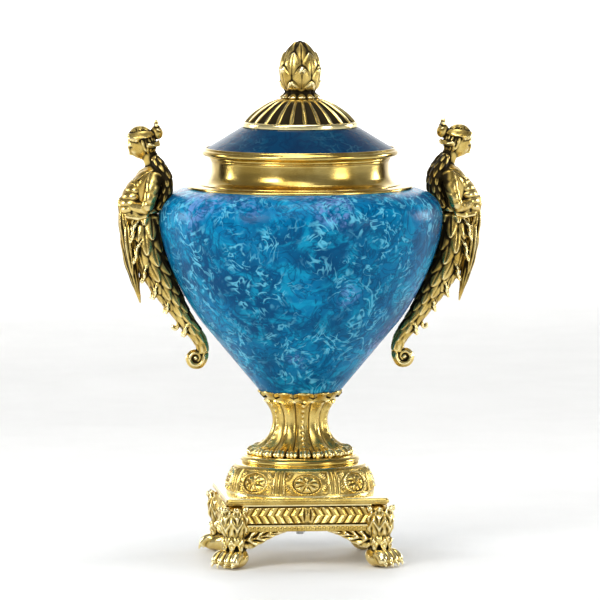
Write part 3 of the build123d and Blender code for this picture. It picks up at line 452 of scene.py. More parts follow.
def mottle_group():
    """Azure ground, dark and pale curling wisps, lavender clouds and pale flecks, all darkened by the Shade
    input as painted shade.
    """
    tree, given, out = new_group(
        "mottled_glaze", [("Shade", "NodeSocketFloat", 0.0), ("Clouds", "NodeSocketFloat", 1.0)],
        [("Colour", "NodeSocketColor"), ("Roughness", "NodeSocketFloat"), ("Height", "NodeSocketFloat")])
    place = tree.nodes.new("ShaderNodeTexCoord").outputs["Object"]
    slow = noise(tree, place, 20.0, 3.0)
    pale_lines = ridge(tree, noise(tree, place, 44.0, 2.0, 0.55, 2.4), 0.060)
    far = wire(tree, "ShaderNodeVectorMath", {"operation": "ADD"}, i0=place, i1=(0.37, 0.11, 0.73)).outputs[0]
    dark_lines = ridge(tree, noise(tree, far, 40.0, 2.5, 0.55, 2.8), 0.075)
    patches = noise(tree, far, 48.0, 3.0, 0.6, 1.0)
    colour = blend(tree, ramp(tree, slow, 0.35, 0.62), DEEP, AZURE)
    colour = blend(tree, calc(tree, "MULTIPLY", ramp(tree, patches, 0.46, 0.66), 0.62), colour, SKY)
    cloud = calc(tree, "MULTIPLY", ramp(tree, noise(tree, far, 17.0, 1.0), 0.56, 0.68),
                 given.outputs["Clouds"])
    cloud = calc(tree, "MULTIPLY", cloud, ramp(tree, noise(tree, place, 130.0, 2.0, 0.5, 1.5), 0.38, 0.60))
    colour = blend(tree, calc(tree, "MULTIPLY", cloud, 0.62), colour, LAVENDER)
    colour = blend(tree, calc(tree, "MULTIPLY", dark_lines, 0.75), colour, DEEP)
    broken = ramp(tree, noise(tree, far, 120.0, 1.0), 0.42, 0.54)
    wisps = calc(tree, "MULTIPLY", calc(tree, "MULTIPLY", pale_lines, broken),
                 ramp(tree, noise(tree, far, 30.0, 2.0), 0.40, 0.62))
    colour = blend(tree, calc(tree, "MULTIPLY", wisps, 0.72), colour, PALE)
    fleck = ramp(tree, noise(tree, place, 210.0, 2.0, 0.6, 1.2), 0.62, 0.70)
    colour = blend(tree, calc(tree, "MULTIPLY", fleck, 0.45), colour, SKY)
    # painted shade: the Shade input mixes the whole glaze towards a near-black blue
    colour = blend(tree, given.outputs["Shade"], colour, (0.0008, 0.016, 0.052, 1))
    tree.links.new(colour, out.inputs["Colour"])
    tree.links.new(calc(tree, "ADD", 0.16, calc(tree, "MULTIPLY", patches, 0.16)), out.inputs["Roughness"])
    tree.links.new(calc(tree, "SUBTRACT", calc(tree, "MULTIPLY", pale_lines, 0.6), dark_lines),
                   out.inputs["Height"])
    return tree


def glaze_material(name, shade, clouds):
    """Glossy ceramic glaze over the mottle; a shade above 0 is painted shade that darkens the whole glaze."""
    material, tree, shader = new_material(name)
    mottle = wire(tree, "ShaderNodeGroup", {"node_tree": MOTTLE}, Shade=shade, Clouds=clouds)
    tree.links.new(mottle.outputs["Colour"], shader.inputs["Base Color"])
    tree.links.new(mottle.outputs["Roughness"], shader.inputs["Roughness"])
    ripple = wire(tree, "ShaderNodeBump", None, Strength=0.16, Distance=0.0004,
                  Height=mottle.outputs["Height"])
    tree.links.new(ripple.outputs["Normal"], shader.inputs["Normal"])
    shader.inputs["Specular IOR Level"].default_value = 0.07
    return material


MOTTLE = mottle_group()
body_glaze = glaze_material("body_glaze", 0.0, 1.0)
# the lid wears the body's glaze with painted shade (0.88) and fewer clouds
lid_glaze_shaded = glaze_material("lid_glaze_shaded", 0.88, 0.2)

# %% [markdown]
# Nuts, washers and rods inside are plain steel, and the pads between metal and glaze are cork. They show
# only from below and inside the mouth, but they still get a finish of their own.

# %% Steel and cork
def plain_material(name, first, second, scale, roughness, metallic, bump):
    """Two tones mixed by noise, with the same noise as a slight bump."""
    material, tree, shader = new_material(name)
    place = tree.nodes.new("ShaderNodeTexCoord").outputs["Object"]
    grain = noise(tree, place, scale, 4.0, 0.6)
    tree.links.new(blend(tree, ramp(tree, grain, 0.35, 0.65), first, second), shader.inputs["Base Color"])
    tree.links.new(ramp(tree, grain, 0.2, 0.8, roughness - 0.08, roughness + 0.08),
                   shader.inputs["Roughness"])
    uneven = wire(tree, "ShaderNodeBump", None, Strength=bump, Distance=0.0003, Height=grain)
    tree.links.new(uneven.outputs["Normal"], shader.inputs["Normal"])
    shader.inputs["Metallic"].default_value = metallic
    return material


steel = plain_material("steel", (0.42, 0.43, 0.44, 1), (0.56, 0.57, 0.58, 1), 700.0, 0.36, 1.0, 0.15)
cork = plain_material("cork", (0.50, 0.32, 0.17, 1), (0.72, 0.52, 0.31, 1), 900.0, 0.85, 0.0, 0.6)
for name, cad_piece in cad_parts.items():
    if any(word in name for word in ("stud", "nut", "washer", "rod", "screw", "cork")):
        cad_piece.data.materials.clear()
        cad_piece.data.materials.append(cork if "cork" in name else steel)

# %% [markdown]
# ## The vessel
# The vessel is thrown or moulded in one: a straight cone, a swelling belly and a tight round shoulder. The
# outline is the CAD's own: a line and two Bezier curves. The inside follows at the thickness of the wall.

# %% Levels taken from the frame
SEAT_Z = extent("vessel_floor")[0][2]
SEAT_R = 28.9
WALL = 6.0
BELLY_R, _, BELLY_Z = extent("vessel_belly")[1]
CONE_TOP_R = 76.3
CONE_TOP_Z = extent("vessel_cone")[1][2]
NECK_R = extent("vessel_neck")[1][0]
NECK_Z, NECK_TOP_Z = extent("vessel_neck")[0][2], extent("vessel_neck")[1][2]
MOUTH_R = NECK_R - 5.4
SHOULDER_Z = NECK_Z - 3.0
SHOULDER_EDGE_R = extent("neck_collar")[1][0] + 1.0


def vessel_side(inset):
    """The side's outline from foot to shoulder, moved inwards by inset."""
    slope = np.arctan2(CONE_TOP_R - SEAT_R, CONE_TOP_Z - SEAT_Z)
    out = np.array([np.cos(slope), -np.sin(slope)]) * inset
    up = np.array([np.sin(slope), np.cos(slope)])
    lift = (BELLY_Z - CONE_TOP_Z) / 4
    foot, top = np.array([SEAT_R, SEAT_Z]) - out, np.array([CONE_TOP_R, CONE_TOP_Z]) - out
    rise = SHOULDER_Z - BELLY_Z
    belly = bezier(top, top + lift * up, (BELLY_R - inset, BELLY_Z - 1.25 * lift), (BELLY_R - inset, BELLY_Z),
                   44)
    shoulder = bezier(
        (BELLY_R - inset, BELLY_Z), (BELLY_R - inset, BELLY_Z + 0.62 * rise),
        ((BELLY_R + SHOULDER_EDGE_R) / 2 + 3.0 - 0.5 * inset, SHOULDER_Z - 2.7 - 0.87 * inset),
        (SHOULDER_EDGE_R - 0.13 * inset, SHOULDER_Z - inset), 30)
    cone = np.linspace(foot, top, 14)
    return np.concatenate([cone[:-1], belly, shoulder[1:]])


outside = vessel_side(0.0)
inside = vessel_side(WALL)
floor_z = SEAT_Z + 9.0
inside = inside[inside[:, 1] > floor_z + 1.0]
neck = rounded([outside[-1], (NECK_R, NECK_Z), (NECK_R, NECK_TOP_Z), (MOUTH_R, NECK_TOP_Z),
                (MOUTH_R, NECK_Z - WALL), inside[-1]], 0.8)[1:-1]
floor = np.array([(inside[0][0] - 1.2, floor_z), (3.5, floor_z), (3.5, SEAT_Z)])
vessel_loop = np.concatenate([outside, neck, inside[::-1], floor])
vessel_nodes = [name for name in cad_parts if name.startswith("vessel_") and name != "vessel_cup"]
make_piece("vessel", [(turned(vessel_loop, 288), True)], body_glaze, vessel_nodes)


def press_to_vessel(points, gap=0.25):
    """Move points that would lie inside the vessel straight out from its axis to its skin."""
    skin = np.concatenate([outside, [(SHOULDER_EDGE_R, SHOULDER_Z), (NECK_R + 12.0, NECK_Z + 6.0),
                                     (NECK_R, 320.0)]])
    limit = np.interp(points[..., 2], skin[:, 1], skin[:, 0]) + gap
    reach = np.maximum(np.hypot(points[..., 0], points[..., 1]), 1e-6)
    scale = np.maximum(limit / reach, 1.0)[..., None]
    return points * np.concatenate([scale, scale, np.ones_like(scale)], -1)


# %% [markdown]
# ## Collar, lid rim and flange
# These are turned from thick castings and burnished, so they stay smooth. What gives them life is the
# outline: a flat flange, a concave sweep, a bead, and fine steps that draw thin shadow lines.

# %% Collar
collar_low, collar_high = extent("neck_collar")
COLLAR_R, COLLAR_Z, COLLAR_TOP_Z = collar_high[0], collar_low[2], collar_high[2]
COLLAR_WAIST_R = NECK_R + 0.3 + 2.5
LIP_R = MOUTH_R + 0.4
COLLAR_BORE_R = NECK_R + 0.3
sweep = bezier((COLLAR_WAIST_R + 7.5, COLLAR_Z + 3.6), (COLLAR_WAIST_R + 2.2, COLLAR_Z + 5.0),
               (COLLAR_WAIST_R, COLLAR_Z + 8.0), (COLLAR_WAIST_R, COLLAR_TOP_Z - 9.0), 24)
collar_loop = np.concatenate([
    rounded([(COLLAR_BORE_R, COLLAR_Z + 2.7), (COLLAR_R, COLLAR_Z), (COLLAR_R, COLLAR_Z + 1.7),
             (COLLAR_R - 1.0, COLLAR_Z + 2.4), (COLLAR_WAIST_R + 8.6, COLLAR_Z + 2.7),
             (COLLAR_WAIST_R + 8.6, COLLAR_Z + 3.5), sweep[0]], 0.4)[:-1],
    sweep,
    rounded([(COLLAR_WAIST_R, COLLAR_TOP_Z - 6.0), (COLLAR_WAIST_R, COLLAR_TOP_Z - 4.4),
             (COLLAR_WAIST_R + 0.7, COLLAR_TOP_Z - 4.0), (COLLAR_WAIST_R + 0.7, COLLAR_TOP_Z - 3.4)], 0.3),
    arc((COLLAR_WAIST_R, COLLAR_TOP_Z - 1.6), 1.6, -70, 85, 12),
    rounded([(LIP_R + 1.0, COLLAR_TOP_Z), (LIP_R, COLLAR_TOP_Z), (LIP_R, NECK_TOP_Z + 0.3),
             (COLLAR_BORE_R, NECK_TOP_Z + 0.3), (COLLAR_BORE_R, COLLAR_Z + 2.7)], 0.4)])
make_piece("collar", [(turned(collar_loop, 256), True)], gilt_polished, ["neck_collar"],
           spread=2.0, depth=3.0)

# %% Lid rim and glazed lid
rim_low, rim_high = extent("lid_rim")
RIM_R, LEDGE_Z = rim_high[0], extent("lid_cone")[0][2]
LID_EDGE_R, LID_TOP_Z = extent("lid_cone")[1][0], extent("lid_crown")[1][2]
FLANGE_R = extent("lid_flange")[1][0]
rim_loop = np.concatenate([
    [(FLANGE_R, rim_low[2]), (RIM_R - 3.4, rim_low[2])],
    arc((RIM_R - 2.3, rim_low[2] + 2.3), 2.3, -100, 60, 14),
    rounded([(RIM_R - 1.4, LEDGE_Z + 1.2), (RIM_R - 1.9, LEDGE_Z + 1.6), (RIM_R - 2.4, rim_high[2]),
             (LID_EDGE_R + 0.1, rim_high[2]), (LID_EDGE_R + 0.3, LEDGE_Z), (FLANGE_R, LEDGE_Z)], 0.35),
])
make_piece("lid_rim", [(turned(rim_loop, 256), True)], gilt_polished, ["lid_rim"], "lid",
           spread=2.0, depth=3.0)

LID_TOP_R = 46.5
edge_z = LID_TOP_Z - (LID_TOP_Z - LEDGE_Z) * (LID_EDGE_R - LID_TOP_R) / (RIM_R - LID_TOP_R)
lid_loop = rounded([(LID_EDGE_R, LEDGE_Z), (LID_EDGE_R, edge_z), (LID_TOP_R, LID_TOP_Z), (3.5, LID_TOP_Z),
                    (3.5, LID_TOP_Z - 4.0), (LID_TOP_R - 1.1, LID_TOP_Z - 4.0), (FLANGE_R + 2.0, LEDGE_Z)],
                   0.5, closed=True)
make_piece("lid_dome", [(turned(evenly(lid_loop, 1.5)[:-1], 224), True)], lid_glaze_shaded,
           ["lid_cone", "lid_crown"], "lid")
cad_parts["lid_flange"].data.materials.clear()
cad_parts["lid_flange"].data.materials.append(gilt_polished)

# %% [markdown]
# ## Gadrooned cap and bud
# Gadroons are the hollow flutes that run down the cap, parted by thin bright ribs. They could be cut as
# grooves, but here the height itself is a formula: the sine of the place across one flute, raised to a low
# power so that the hollow is broad and the rib thin. The bud is covered in overlapping leaves.

# %% Cap
CAP_R, CAP_TOP_Z = extent("lid_cap")[1][0], extent("lid_cap")[1][2]
CAP_BAND_Z = LID_TOP_Z + 4.0
GADROONS = 24
GADROON_DEPTH = 1.9
STUD_HOLE_R = 3.2
BUD_NECK_R = 12.5


def gadroons(along, angle):
    """Broad hollows: -depth * sin(pi u) ** 0.55, u across one flute, fading at both ends of the dome."""
    u = np.mod(angle * GADROONS / (2 * pi), 1.0)
    rise = smoothstep(7.6, 9.6, along)
    fall = (1 - 0.65 * smoothstep(22, 40, along)) * (1 - smoothstep(39.5, 42, along))
    return -GADROON_DEPTH * np.sin(pi * u) ** 0.55 * rise * fall


cap_chord = np.array([(CAP_R - 1.5, CAP_BAND_Z + 0.6), (BUD_NECK_R, CAP_TOP_Z)])
cap_arc_points = bezier(cap_chord[0], (CAP_R - 9.5, CAP_BAND_Z + 10.5), (BUD_NECK_R + 12, CAP_TOP_Z - 2.5),
                        cap_chord[1], 60)
cap_profile = np.concatenate([
    rounded([(STUD_HOLE_R, LID_TOP_Z), (CAP_R - 0.4, LID_TOP_Z), (CAP_R, LID_TOP_Z + 0.6),
             (CAP_R, CAP_BAND_Z - 0.6),
             (CAP_R - 0.6, CAP_BAND_Z + 0.3)], 0.5)[1:],
    cap_arc_points, [(BUD_NECK_R - 6.0, CAP_TOP_Z + 0.4), (STUD_HOLE_R, CAP_TOP_Z + 0.4)]])
cap_profile = evenly(cap_profile[np.argmax(cap_profile[:, 0] > 40):], 0.5)
cap_profile = np.concatenate([[(STUD_HOLE_R, LID_TOP_Z)], cap_profile])
print("cap profile length", round(run_length(cap_profile)[-1], 1))
dome_start = run_length(cap_profile)[np.argmax(cap_profile[:, 1] > CAP_BAND_Z)]


def cap_flute_shade(place):
    """Painted shade fills the flutes: most in the middle of each, less towards the bud."""
    u = np.mod(np.arctan2(place[:, 1], place[:, 0]) * GADROONS / (2 * pi), 1.0)
    reach = np.hypot(place[:, 0], place[:, 1])
    flute = smoothstep(0.10, 0.30, u) * (1 - smoothstep(0.70, 0.90, u))
    return 0.80 * flute * smoothstep(16, 27, reach) * (1 - smoothstep(CAP_R - 3.0, CAP_R - 2.0, reach))


# painted shade in the gadroon flutes darkens the cap's relief
make_piece("cap", [(capped(turned(cap_profile, 480, lambda s, a: gadroons(s - dome_start + 7.0, a))), False)],
           gilt_cast, ["lid_cap"], "lid", spread=3.2, depth=1.6, stain_and_shade=cap_flute_shade)


# %% Leaf pattern and bud
def leaf_rows(along, angle, rows, count, vein=0.14):
    """Height of overlapping leaves, 0..1. Row k's leaves start at along = k / rows, reach 1.7 rows on and
    thicken towards the tip, so each covers the foot of the next row, which sits half a leaf round."""
    height = 0 * (along + angle)
    for k in range(-1, rows):
        t = (along * rows - k) / 1.7
        across = np.mod(angle * count / (2 * pi) + 0.5 * (k % 2), 1.0) - 0.5
        half = 0.56 * np.sin(pi * np.clip(t, 0, 1) ** 0.75) ** 0.6 + 1e-6
        side = np.clip(1 - (across / half) ** 2, 0, 1) ** 0.5
        leaf = side * (0.30 + 0.70 * t) - vein * np.exp(-(across / 0.045) ** 2)
        height = np.where((t > 0) & (t < 1), np.maximum(height, leaf), height)
    return height


bud_low, bud_high = extent("finial")
BUD_R, BUD_TIP_Z = bud_high[0], bud_high[2]
BUD_Z = bud_low[2] + 5.5
bud_profile = np.concatenate([[(0.02, bud_low[2])],
                              rounded([(BUD_NECK_R + 3.4, bud_low[2]), (BUD_NECK_R + 3.8, bud_low[2] + 0.8),
                                       (BUD_NECK_R + 1.2, bud_low[2] + 2.4), (BUD_NECK_R - 0.6, BUD_Z - 1.4)],
                                      0.9),
                              bezier((BUD_NECK_R - 0.4, BUD_Z), (BUD_R - 2.6, BUD_Z + 2.5),
                                     (BUD_R - 1.2, BUD_Z + 8.0), (BUD_R - 1.2, BUD_Z + 14.5), 40),
                              bezier((BUD_R - 1.2, BUD_Z + 14.5), (BUD_R - 1.2, BUD_Z + 26.0),
                                     (BUD_NECK_R - 1.5, BUD_TIP_Z - 6.0), (0.02, BUD_TIP_Z - 0.4), 50)])
bud_profile = evenly(bud_profile, 0.45)
bud_start = run_length(bud_profile)[np.argmax(bud_profile[:, 1] > BUD_Z + 0.5)]
bud_length = run_length(bud_profile)[-1]


def bud_relief(along, angle):
    """Broad leaves on the bud, beads round its neck."""
    t = (along - bud_start) / (bud_length - bud_start)
    fade = smoothstep(0, 0.05, t) * (1 - smoothstep(0.88, 1.0, t))
    leaves = 2.6 * (leaf_rows(np.clip(t, 0, 1), angle, 4, 6) - 0.45) * fade
    studs = 1.6 * np.exp(-((t - 0.36) / 0.05) ** 2) * np.clip(np.cos(6 * (angle + pi / 2)), 0, 1) ** 3
    root = (1 - smoothstep(-0.02, 0.03, t)) * smoothstep(8.0, 13.0, along)
    foot = 1.3 * (ribbed(angle, 12, 0.7) - 0.8) * root
    return leaves + studs + foot


def bud_darkening(place):
    """Darker at the crown of small leaves at the tip and a little at the root, over a slight darkening all
    over.
    """
    crown = smoothstep(BUD_TIP_Z - 13.0, BUD_TIP_Z - 7.0, place[:, 2])
    root = 1 - smoothstep(BUD_Z - 2.0, BUD_Z + 4.0, place[:, 2])
    return 0.10 + 0.22 * crown + 0.04 * root


make_piece("bud", [(turned(bud_profile, 264, bud_relief), False)], gilt_cast, ["finial"], "lid",
           spread=2.2, depth=1.3, stain_and_shade=bud_darkening)

# %% [markdown]
# ## Cup, stem, ring and drum
# The stem is a fluted column drawn in at the waist. Twelve round ribs part with narrow dark grooves, every
# other rib carries a chain of husks, and the ribs end in leaf tips on the foot. The cup above it opens in
# lobes like a calyx.

# %% Cup
CUP_LOW, CUP_HIGH = extent("vessel_cup")
RIBS = 12


def cup_relief(along, angle):
    """Lobes that swell towards the cup's lip."""
    return (ribbed(angle, RIBS, 0.7) - 1.0) * 2.8 * smoothstep(0.5, 6.0, along)


CUP_LIP_R = CUP_HIGH[0] - 1.0
cup_side = bezier((CUP_LIP_R - 5.2, CUP_LOW[2]), (CUP_LIP_R - 4.0, CUP_LOW[2] + 3.0),
                  (CUP_LIP_R - 2.0, CUP_HIGH[2] - 4.0), (CUP_LIP_R + 0.9, CUP_HIGH[2] - 2.0), 24)
cup_profile = np.concatenate([
    cup_side, arc((CUP_LIP_R, CUP_HIGH[2] - 1.0), 1.3, -40, 110, 12),
    [(CUP_LIP_R - 1.5, CUP_HIGH[2] - 1.2), (CUP_LIP_R - 3.9, CUP_HIGH[2] - 4.0)]])
cup_profile = evenly(cup_profile, 0.45)
make_piece("cup", [(capped(turned(cup_profile, 480, cup_relief)), False)], gilt_cast, ["vessel_cup"],
           spread=2.4, depth=1.5)

# %% Stem
STEM_Z = extent("stem_lower")[0][2]
STEM_FOOT_R = extent("stem_lower")[1][0]
STEM_TOP_Z = extent("stem_upper")[1][2]
WAIST_Z = extent("stem_upper")[0][2]
WAIST_R, SWEEP_R = 21.6, 21.5
HUSK_PITCH = 9.0
sweep_angles = np.degrees(np.arcsin(np.array([-0.90 * SWEEP_R, STEM_TOP_Z - WAIST_Z]) / SWEEP_R))
sweep_curve = arc((WAIST_R + SWEEP_R, WAIST_Z), SWEEP_R, 180 - sweep_angles[0], 180 - sweep_angles[1], 60)
stem_profile = np.concatenate([
    rounded([(STEM_FOOT_R - 2.0, STEM_Z), (STEM_FOOT_R, STEM_Z + 0.8), (STEM_FOOT_R + 0.4, STEM_Z + 3.0),
             (STEM_FOOT_R - 2.6, STEM_Z + 6.0), sweep_curve[0]], 1.2), sweep_curve[1:]])
stem_profile = evenly(stem_profile, 0.45)
stem_length = run_length(stem_profile)[-1]


def stem_relief(along, angle):
    """Ribs and grooves up the sweep, husks on every other rib, and leaf tips round the foot."""
    t = along / stem_length
    ribs = (ribbed(angle, RIBS, 0.75) - 1.0) * 3.0 * smoothstep(0.10, 0.24, t) * (1 - 0.15 * t)
    centre = np.mod(6 * (angle + pi / 2) / (2 * pi) + 0.5, 1.0) - 0.5
    chain = 0.35 + 0.75 * np.abs(np.sin(2 * pi * along / HUSK_PITCH))
    husk = np.exp(-(centre / 0.055) ** 2) * chain * smoothstep(0.2, 0.3, t)
    tips = (ribbed(angle, 2 * RIBS, 0.7) - 0.9) * 2.2 * (1 - smoothstep(0.16, 0.34, t))
    veins = 0.45 * np.cos(6 * RIBS * (angle + pi / 2)) * (1 - smoothstep(0.16, 0.30, t))
    return ribs + 1.1 * husk + tips + veins + 0.3


make_piece("stem", [(capped(turned(stem_profile, 432, stem_relief)), False)], gilt_cast,
           ["stem_lower", "stem_upper"], spread=2.4, depth=1.5)

# %% Ring
ring_low, ring_high = extent("base_ring")
RING_R, RING_Z, RING_TOP_Z = ring_high[0], ring_low[2], ring_high[2]
ring_profile = np.concatenate([rounded([(RING_R - 1.6, RING_Z), (RING_R - 0.4, RING_Z + 0.4),
                                        (RING_R - 0.4, RING_Z + 1.0)], 0.3),
                               bezier((RING_R - 0.9, RING_Z + 1.1), (RING_R + 0.6, RING_Z + 2.6),
                                      (RING_R + 0.2, RING_TOP_Z - 2.0), (RING_R - 2.2, RING_TOP_Z - 0.9), 16),
                               rounded([(RING_R - 3.0, RING_TOP_Z - 0.8), (RING_R - 3.2, RING_TOP_Z),
                                        (RING_R - 12.0, RING_TOP_Z)], 0.3)])
make_piece("base_ring", [(capped(turned(ring_profile, 256)), False)], gilt_polished, ["base_ring"],
           spread=2.0, depth=3.0)

# %% [markdown]
# The drum is a quarter-round cushion. Eight oval rosettes sit round it in sunk panels, with plain upright
# bars between, a border above and below, and sprigs of leaf in the panels' corners.

# %% Drum
drum_low, drum_high = extent("base_drum")
DRUM_Z, DRUM_TOP_Z, DRUM_R = drum_low[2], drum_high[2], drum_high[0]
DRUM_TOP_R = RING_R + 3.0
drum_side = bezier((DRUM_R, DRUM_Z), (DRUM_R - 0.5, DRUM_Z + 0.6 * (DRUM_TOP_Z - DRUM_Z)),
                   (DRUM_TOP_R + 4.5, DRUM_TOP_Z - 0.15 * (DRUM_TOP_Z - DRUM_Z)), (DRUM_TOP_R, DRUM_TOP_Z),
                   80)
drum_profile = evenly(drum_side, 0.4)
drum_length = run_length(drum_profile)[-1]
ROSETTES = 8


def drum_relief(along, angle):
    """Borders and bars stand level; the panels are sunk, with four veined sprigs each."""
    across = np.mod(ROSETTES * (angle + pi / 2) / (2 * pi) + 0.5, 1.0) - 0.5
    width = across * 2 * pi * 56.0 / ROSETTES
    up = along - 0.5 * drum_length
    bar = smoothstep(16.8, 17.6, np.abs(width))
    border = smoothstep(0.5 * drum_length - 2.6, 0.5 * drum_length - 1.9, np.abs(up + 1.2 * (up > 0)))
    level = np.maximum(bar, border)
    reed = 0.35 * np.cos(pi * (np.abs(width) - 22.0) / 1.9) * bar * (1 - border)
    ground = -1.3 * (1 - level)
    du, dv = np.abs(width) - 14.2, np.abs(up) - 5.2
    p, q = 0.80 * du + 0.60 * dv, -0.60 * du + 0.80 * dv
    sprig = np.exp(-(q / 3.6) ** 2 - (p / 1.7) ** 2) * (1 + 0.35 * np.cos(2 * pi * q / 1.7))
    return ground + (1 - level) * 1.5 * sprig + reed


make_piece("drum", [(capped(turned(drum_profile, 720, drum_relief)), False)], gilt_cast, ["base_drum"],
           spread=2.4, depth=1.5)


# %% Rosettes
def rosette_surface():
    """Oval rosette facing +X: distance rho from the middle and angle phi give a place on the oval; the height
    adds a boss, eight petals with a fold down each, a groove and a beaded border."""
    rho = np.concatenate([np.linspace(0, 1, 52), [0.97, 0.5, 0.0]])[:, None]
    front = np.ones_like(rho)
    front[52:] = 0
    phi = np.linspace(0, 2 * pi, 128, endpoint=False)[None, :]
    petals = np.abs(np.cos(4 * phi)) ** 0.6 * np.sin(pi * np.clip((rho - 0.12) / 0.66, 0, 1)) ** 0.8
    fold = 0.35 * np.exp(-(np.mod(4 * phi / pi + 0.5, 1.0) - 0.5) ** 2 / 0.006) * petals
    boss = np.exp(-(rho / 0.17) ** 2)
    border = np.exp(-((rho - 0.90) / 0.055) ** 2) * (0.8 + 0.35 * np.cos(30 * phi))
    height = 1.5 * petals + fold + 2.1 * boss + 1.9 * border - 2.8 * smoothstep(0.95, 1.0, rho)
    rock = radians(20.0)
    out = np.array([cos(rock), 0, sin(rock)])
    up = np.array([-sin(rock), 0, cos(rock)])
    centre = np.array([DRUM_R - 2.6, 0, DRUM_Z + 0.47 * (DRUM_TOP_Z - DRUM_Z)])
    across = 13.0 * rho * np.cos(phi)
    rise = 9.2 * rho * np.sin(phi)
    bend = -across ** 2 / (2 * DRUM_R) - rise ** 2 / 60.0
    depth = np.where(front > 0, height + bend, -3.0 + bend)
    side = np.array([0, 1.0, 0])
    return centre + depth[..., None] * out + across[..., None] * side + rise[..., None] * up


rosette = rosette_surface()
for number in range(ROSETTES):
    turn = 2 * pi * number / ROSETTES - pi / 2
    spin = np.array([[cos(turn), sin(turn), 0], [-sin(turn), cos(turn), 0], [0, 0, 1]])
    make_piece(f"rosette_piece_{number + 1}", [(rosette @ spin, False)], gilt_cast, [f"rosette_{number + 1}"],
               spread=1.8, depth=1.3)

# %% [markdown]
# ## Plate, plinth and friezes
# A square moulding is a profile carried round a square. Each point of the path knows how far it must shift
# when the sides move out by one, so the mitres come out true at the corners.

# %% Square mouldings
def square_path(half, cut, steps):
    """Round a square with cut corners: the points, and each point's shift when the sides move out by 1."""
    straight = half - cut
    mitre = np.tan(pi / 8)
    corners, shifts = [], []
    for quarter in range(4):
        spin = np.linalg.matrix_power(np.array([[0, 1], [-1, 0]]), quarter)
        corners += [np.array([half, -straight]) @ spin, np.array([half, straight]) @ spin]
        shifts += [np.array([1, -mitre]) @ spin, np.array([1, mitre]) @ spin]
    corners, shifts = np.array(corners + corners[:1]), np.array(shifts + shifts[:1])
    places = np.concatenate([k + np.linspace(0, 1, steps if k % 2 == 0 else 6, endpoint=False)
                             for k in range(8)])
    at = np.arange(9)
    path = np.stack([np.interp(places, at, corners[:, k]) for k in range(2)], -1)
    shift = np.stack([np.interp(places, at, shifts[:, k]) for k in range(2)], -1)
    return path, shift


def square_moulding(profile, half, cut, steps=120, relief=None):
    """Profile point (d, z) carried round the path: place = path + d * shift, at height z."""
    path, shift = square_path(half, cut, steps)
    out = profile[:, :1] + 0 * path[None, :, 0]
    if relief is not None:
        out = out + relief(profile[:, 1:], run_length(np.vstack([path, path[:1]]))[None, :-1])
    flat = path[None] + out[..., None] * shift[None]
    return np.concatenate([flat, np.broadcast_to(profile[:, 1:, None], flat.shape[:2] + (1,))], -1)


plate_low, plate_high = extent("plinth_plate")
PLATE_HALF, PLATE_Z, PLATE_TOP_Z = plate_high[0], plate_low[2], plate_high[2]
plate_profile = rounded([(-4.0, PLATE_Z), (-1.3, PLATE_Z), (-1.3, PLATE_Z + 0.9), (0, PLATE_Z + 1.2),
                         (0, PLATE_TOP_Z - 1.8), (-0.7, PLATE_TOP_Z - 1.2), (-0.9, PLATE_TOP_Z - 0.5),
                         (-2.4, PLATE_TOP_Z)], 0.5)
make_piece("plate", [(capped(square_moulding(plate_profile, PLATE_HALF, 1.4, 60)), False)], gilt_cast,
           ["plinth_plate"], spread=2.5, depth=3.0)

FRIEZE_THICK = 2.5
plinth_low, plinth_high = extent("plinth_box")
PLINTH_HALF, PLINTH_Z = plinth_high[0] - FRIEZE_THICK, plinth_low[2]
CORNER_CUT = 11.0
BAND_Z = PLINTH_Z + 4.0
CORNER_REACH = (2 * PLINTH_HALF - CORNER_CUT) / sqrt(2)


def bead_band(z, along):
    """A row of beads on the bottom moulding: a half-round across, a train of humps along."""
    across = np.clip(1 - ((z - PLINTH_Z - 2.0) / 1.7) ** 2, 0, 1) ** 0.5
    return 0.9 * across * np.abs(np.sin(pi * along / 3.6)) ** 0.7 - 0.3 * across


plinth_profile = rounded([(-2.0, PLINTH_Z), (FRIEZE_THICK - 0.9, PLINTH_Z), (FRIEZE_THICK - 0.9, BAND_Z),
                          (0.3, BAND_Z + 0.2), (0, BAND_Z + 0.8), (0, PLATE_Z)], 0.3)
plinth_profile = evenly(plinth_profile, 0.4)
make_piece("plinth", [(capped(square_moulding(plinth_profile, PLINTH_HALF, CORNER_CUT, 200, bead_band)),
                       False)], gilt_cast, ["plinth_box"], spread=1.6, depth=1.3)


# %% [markdown]
# The frieze is a laurel garland: pairs of leaves that start at the middle and run out to both ends. One
# wave of the distance from the middle, pushed back with the distance from the centre line, gives chevrons;
# a rounded wave gives each leaf its body and a thin dark gap.

# %% Friezes
LEAVES_PER_HALF = 8


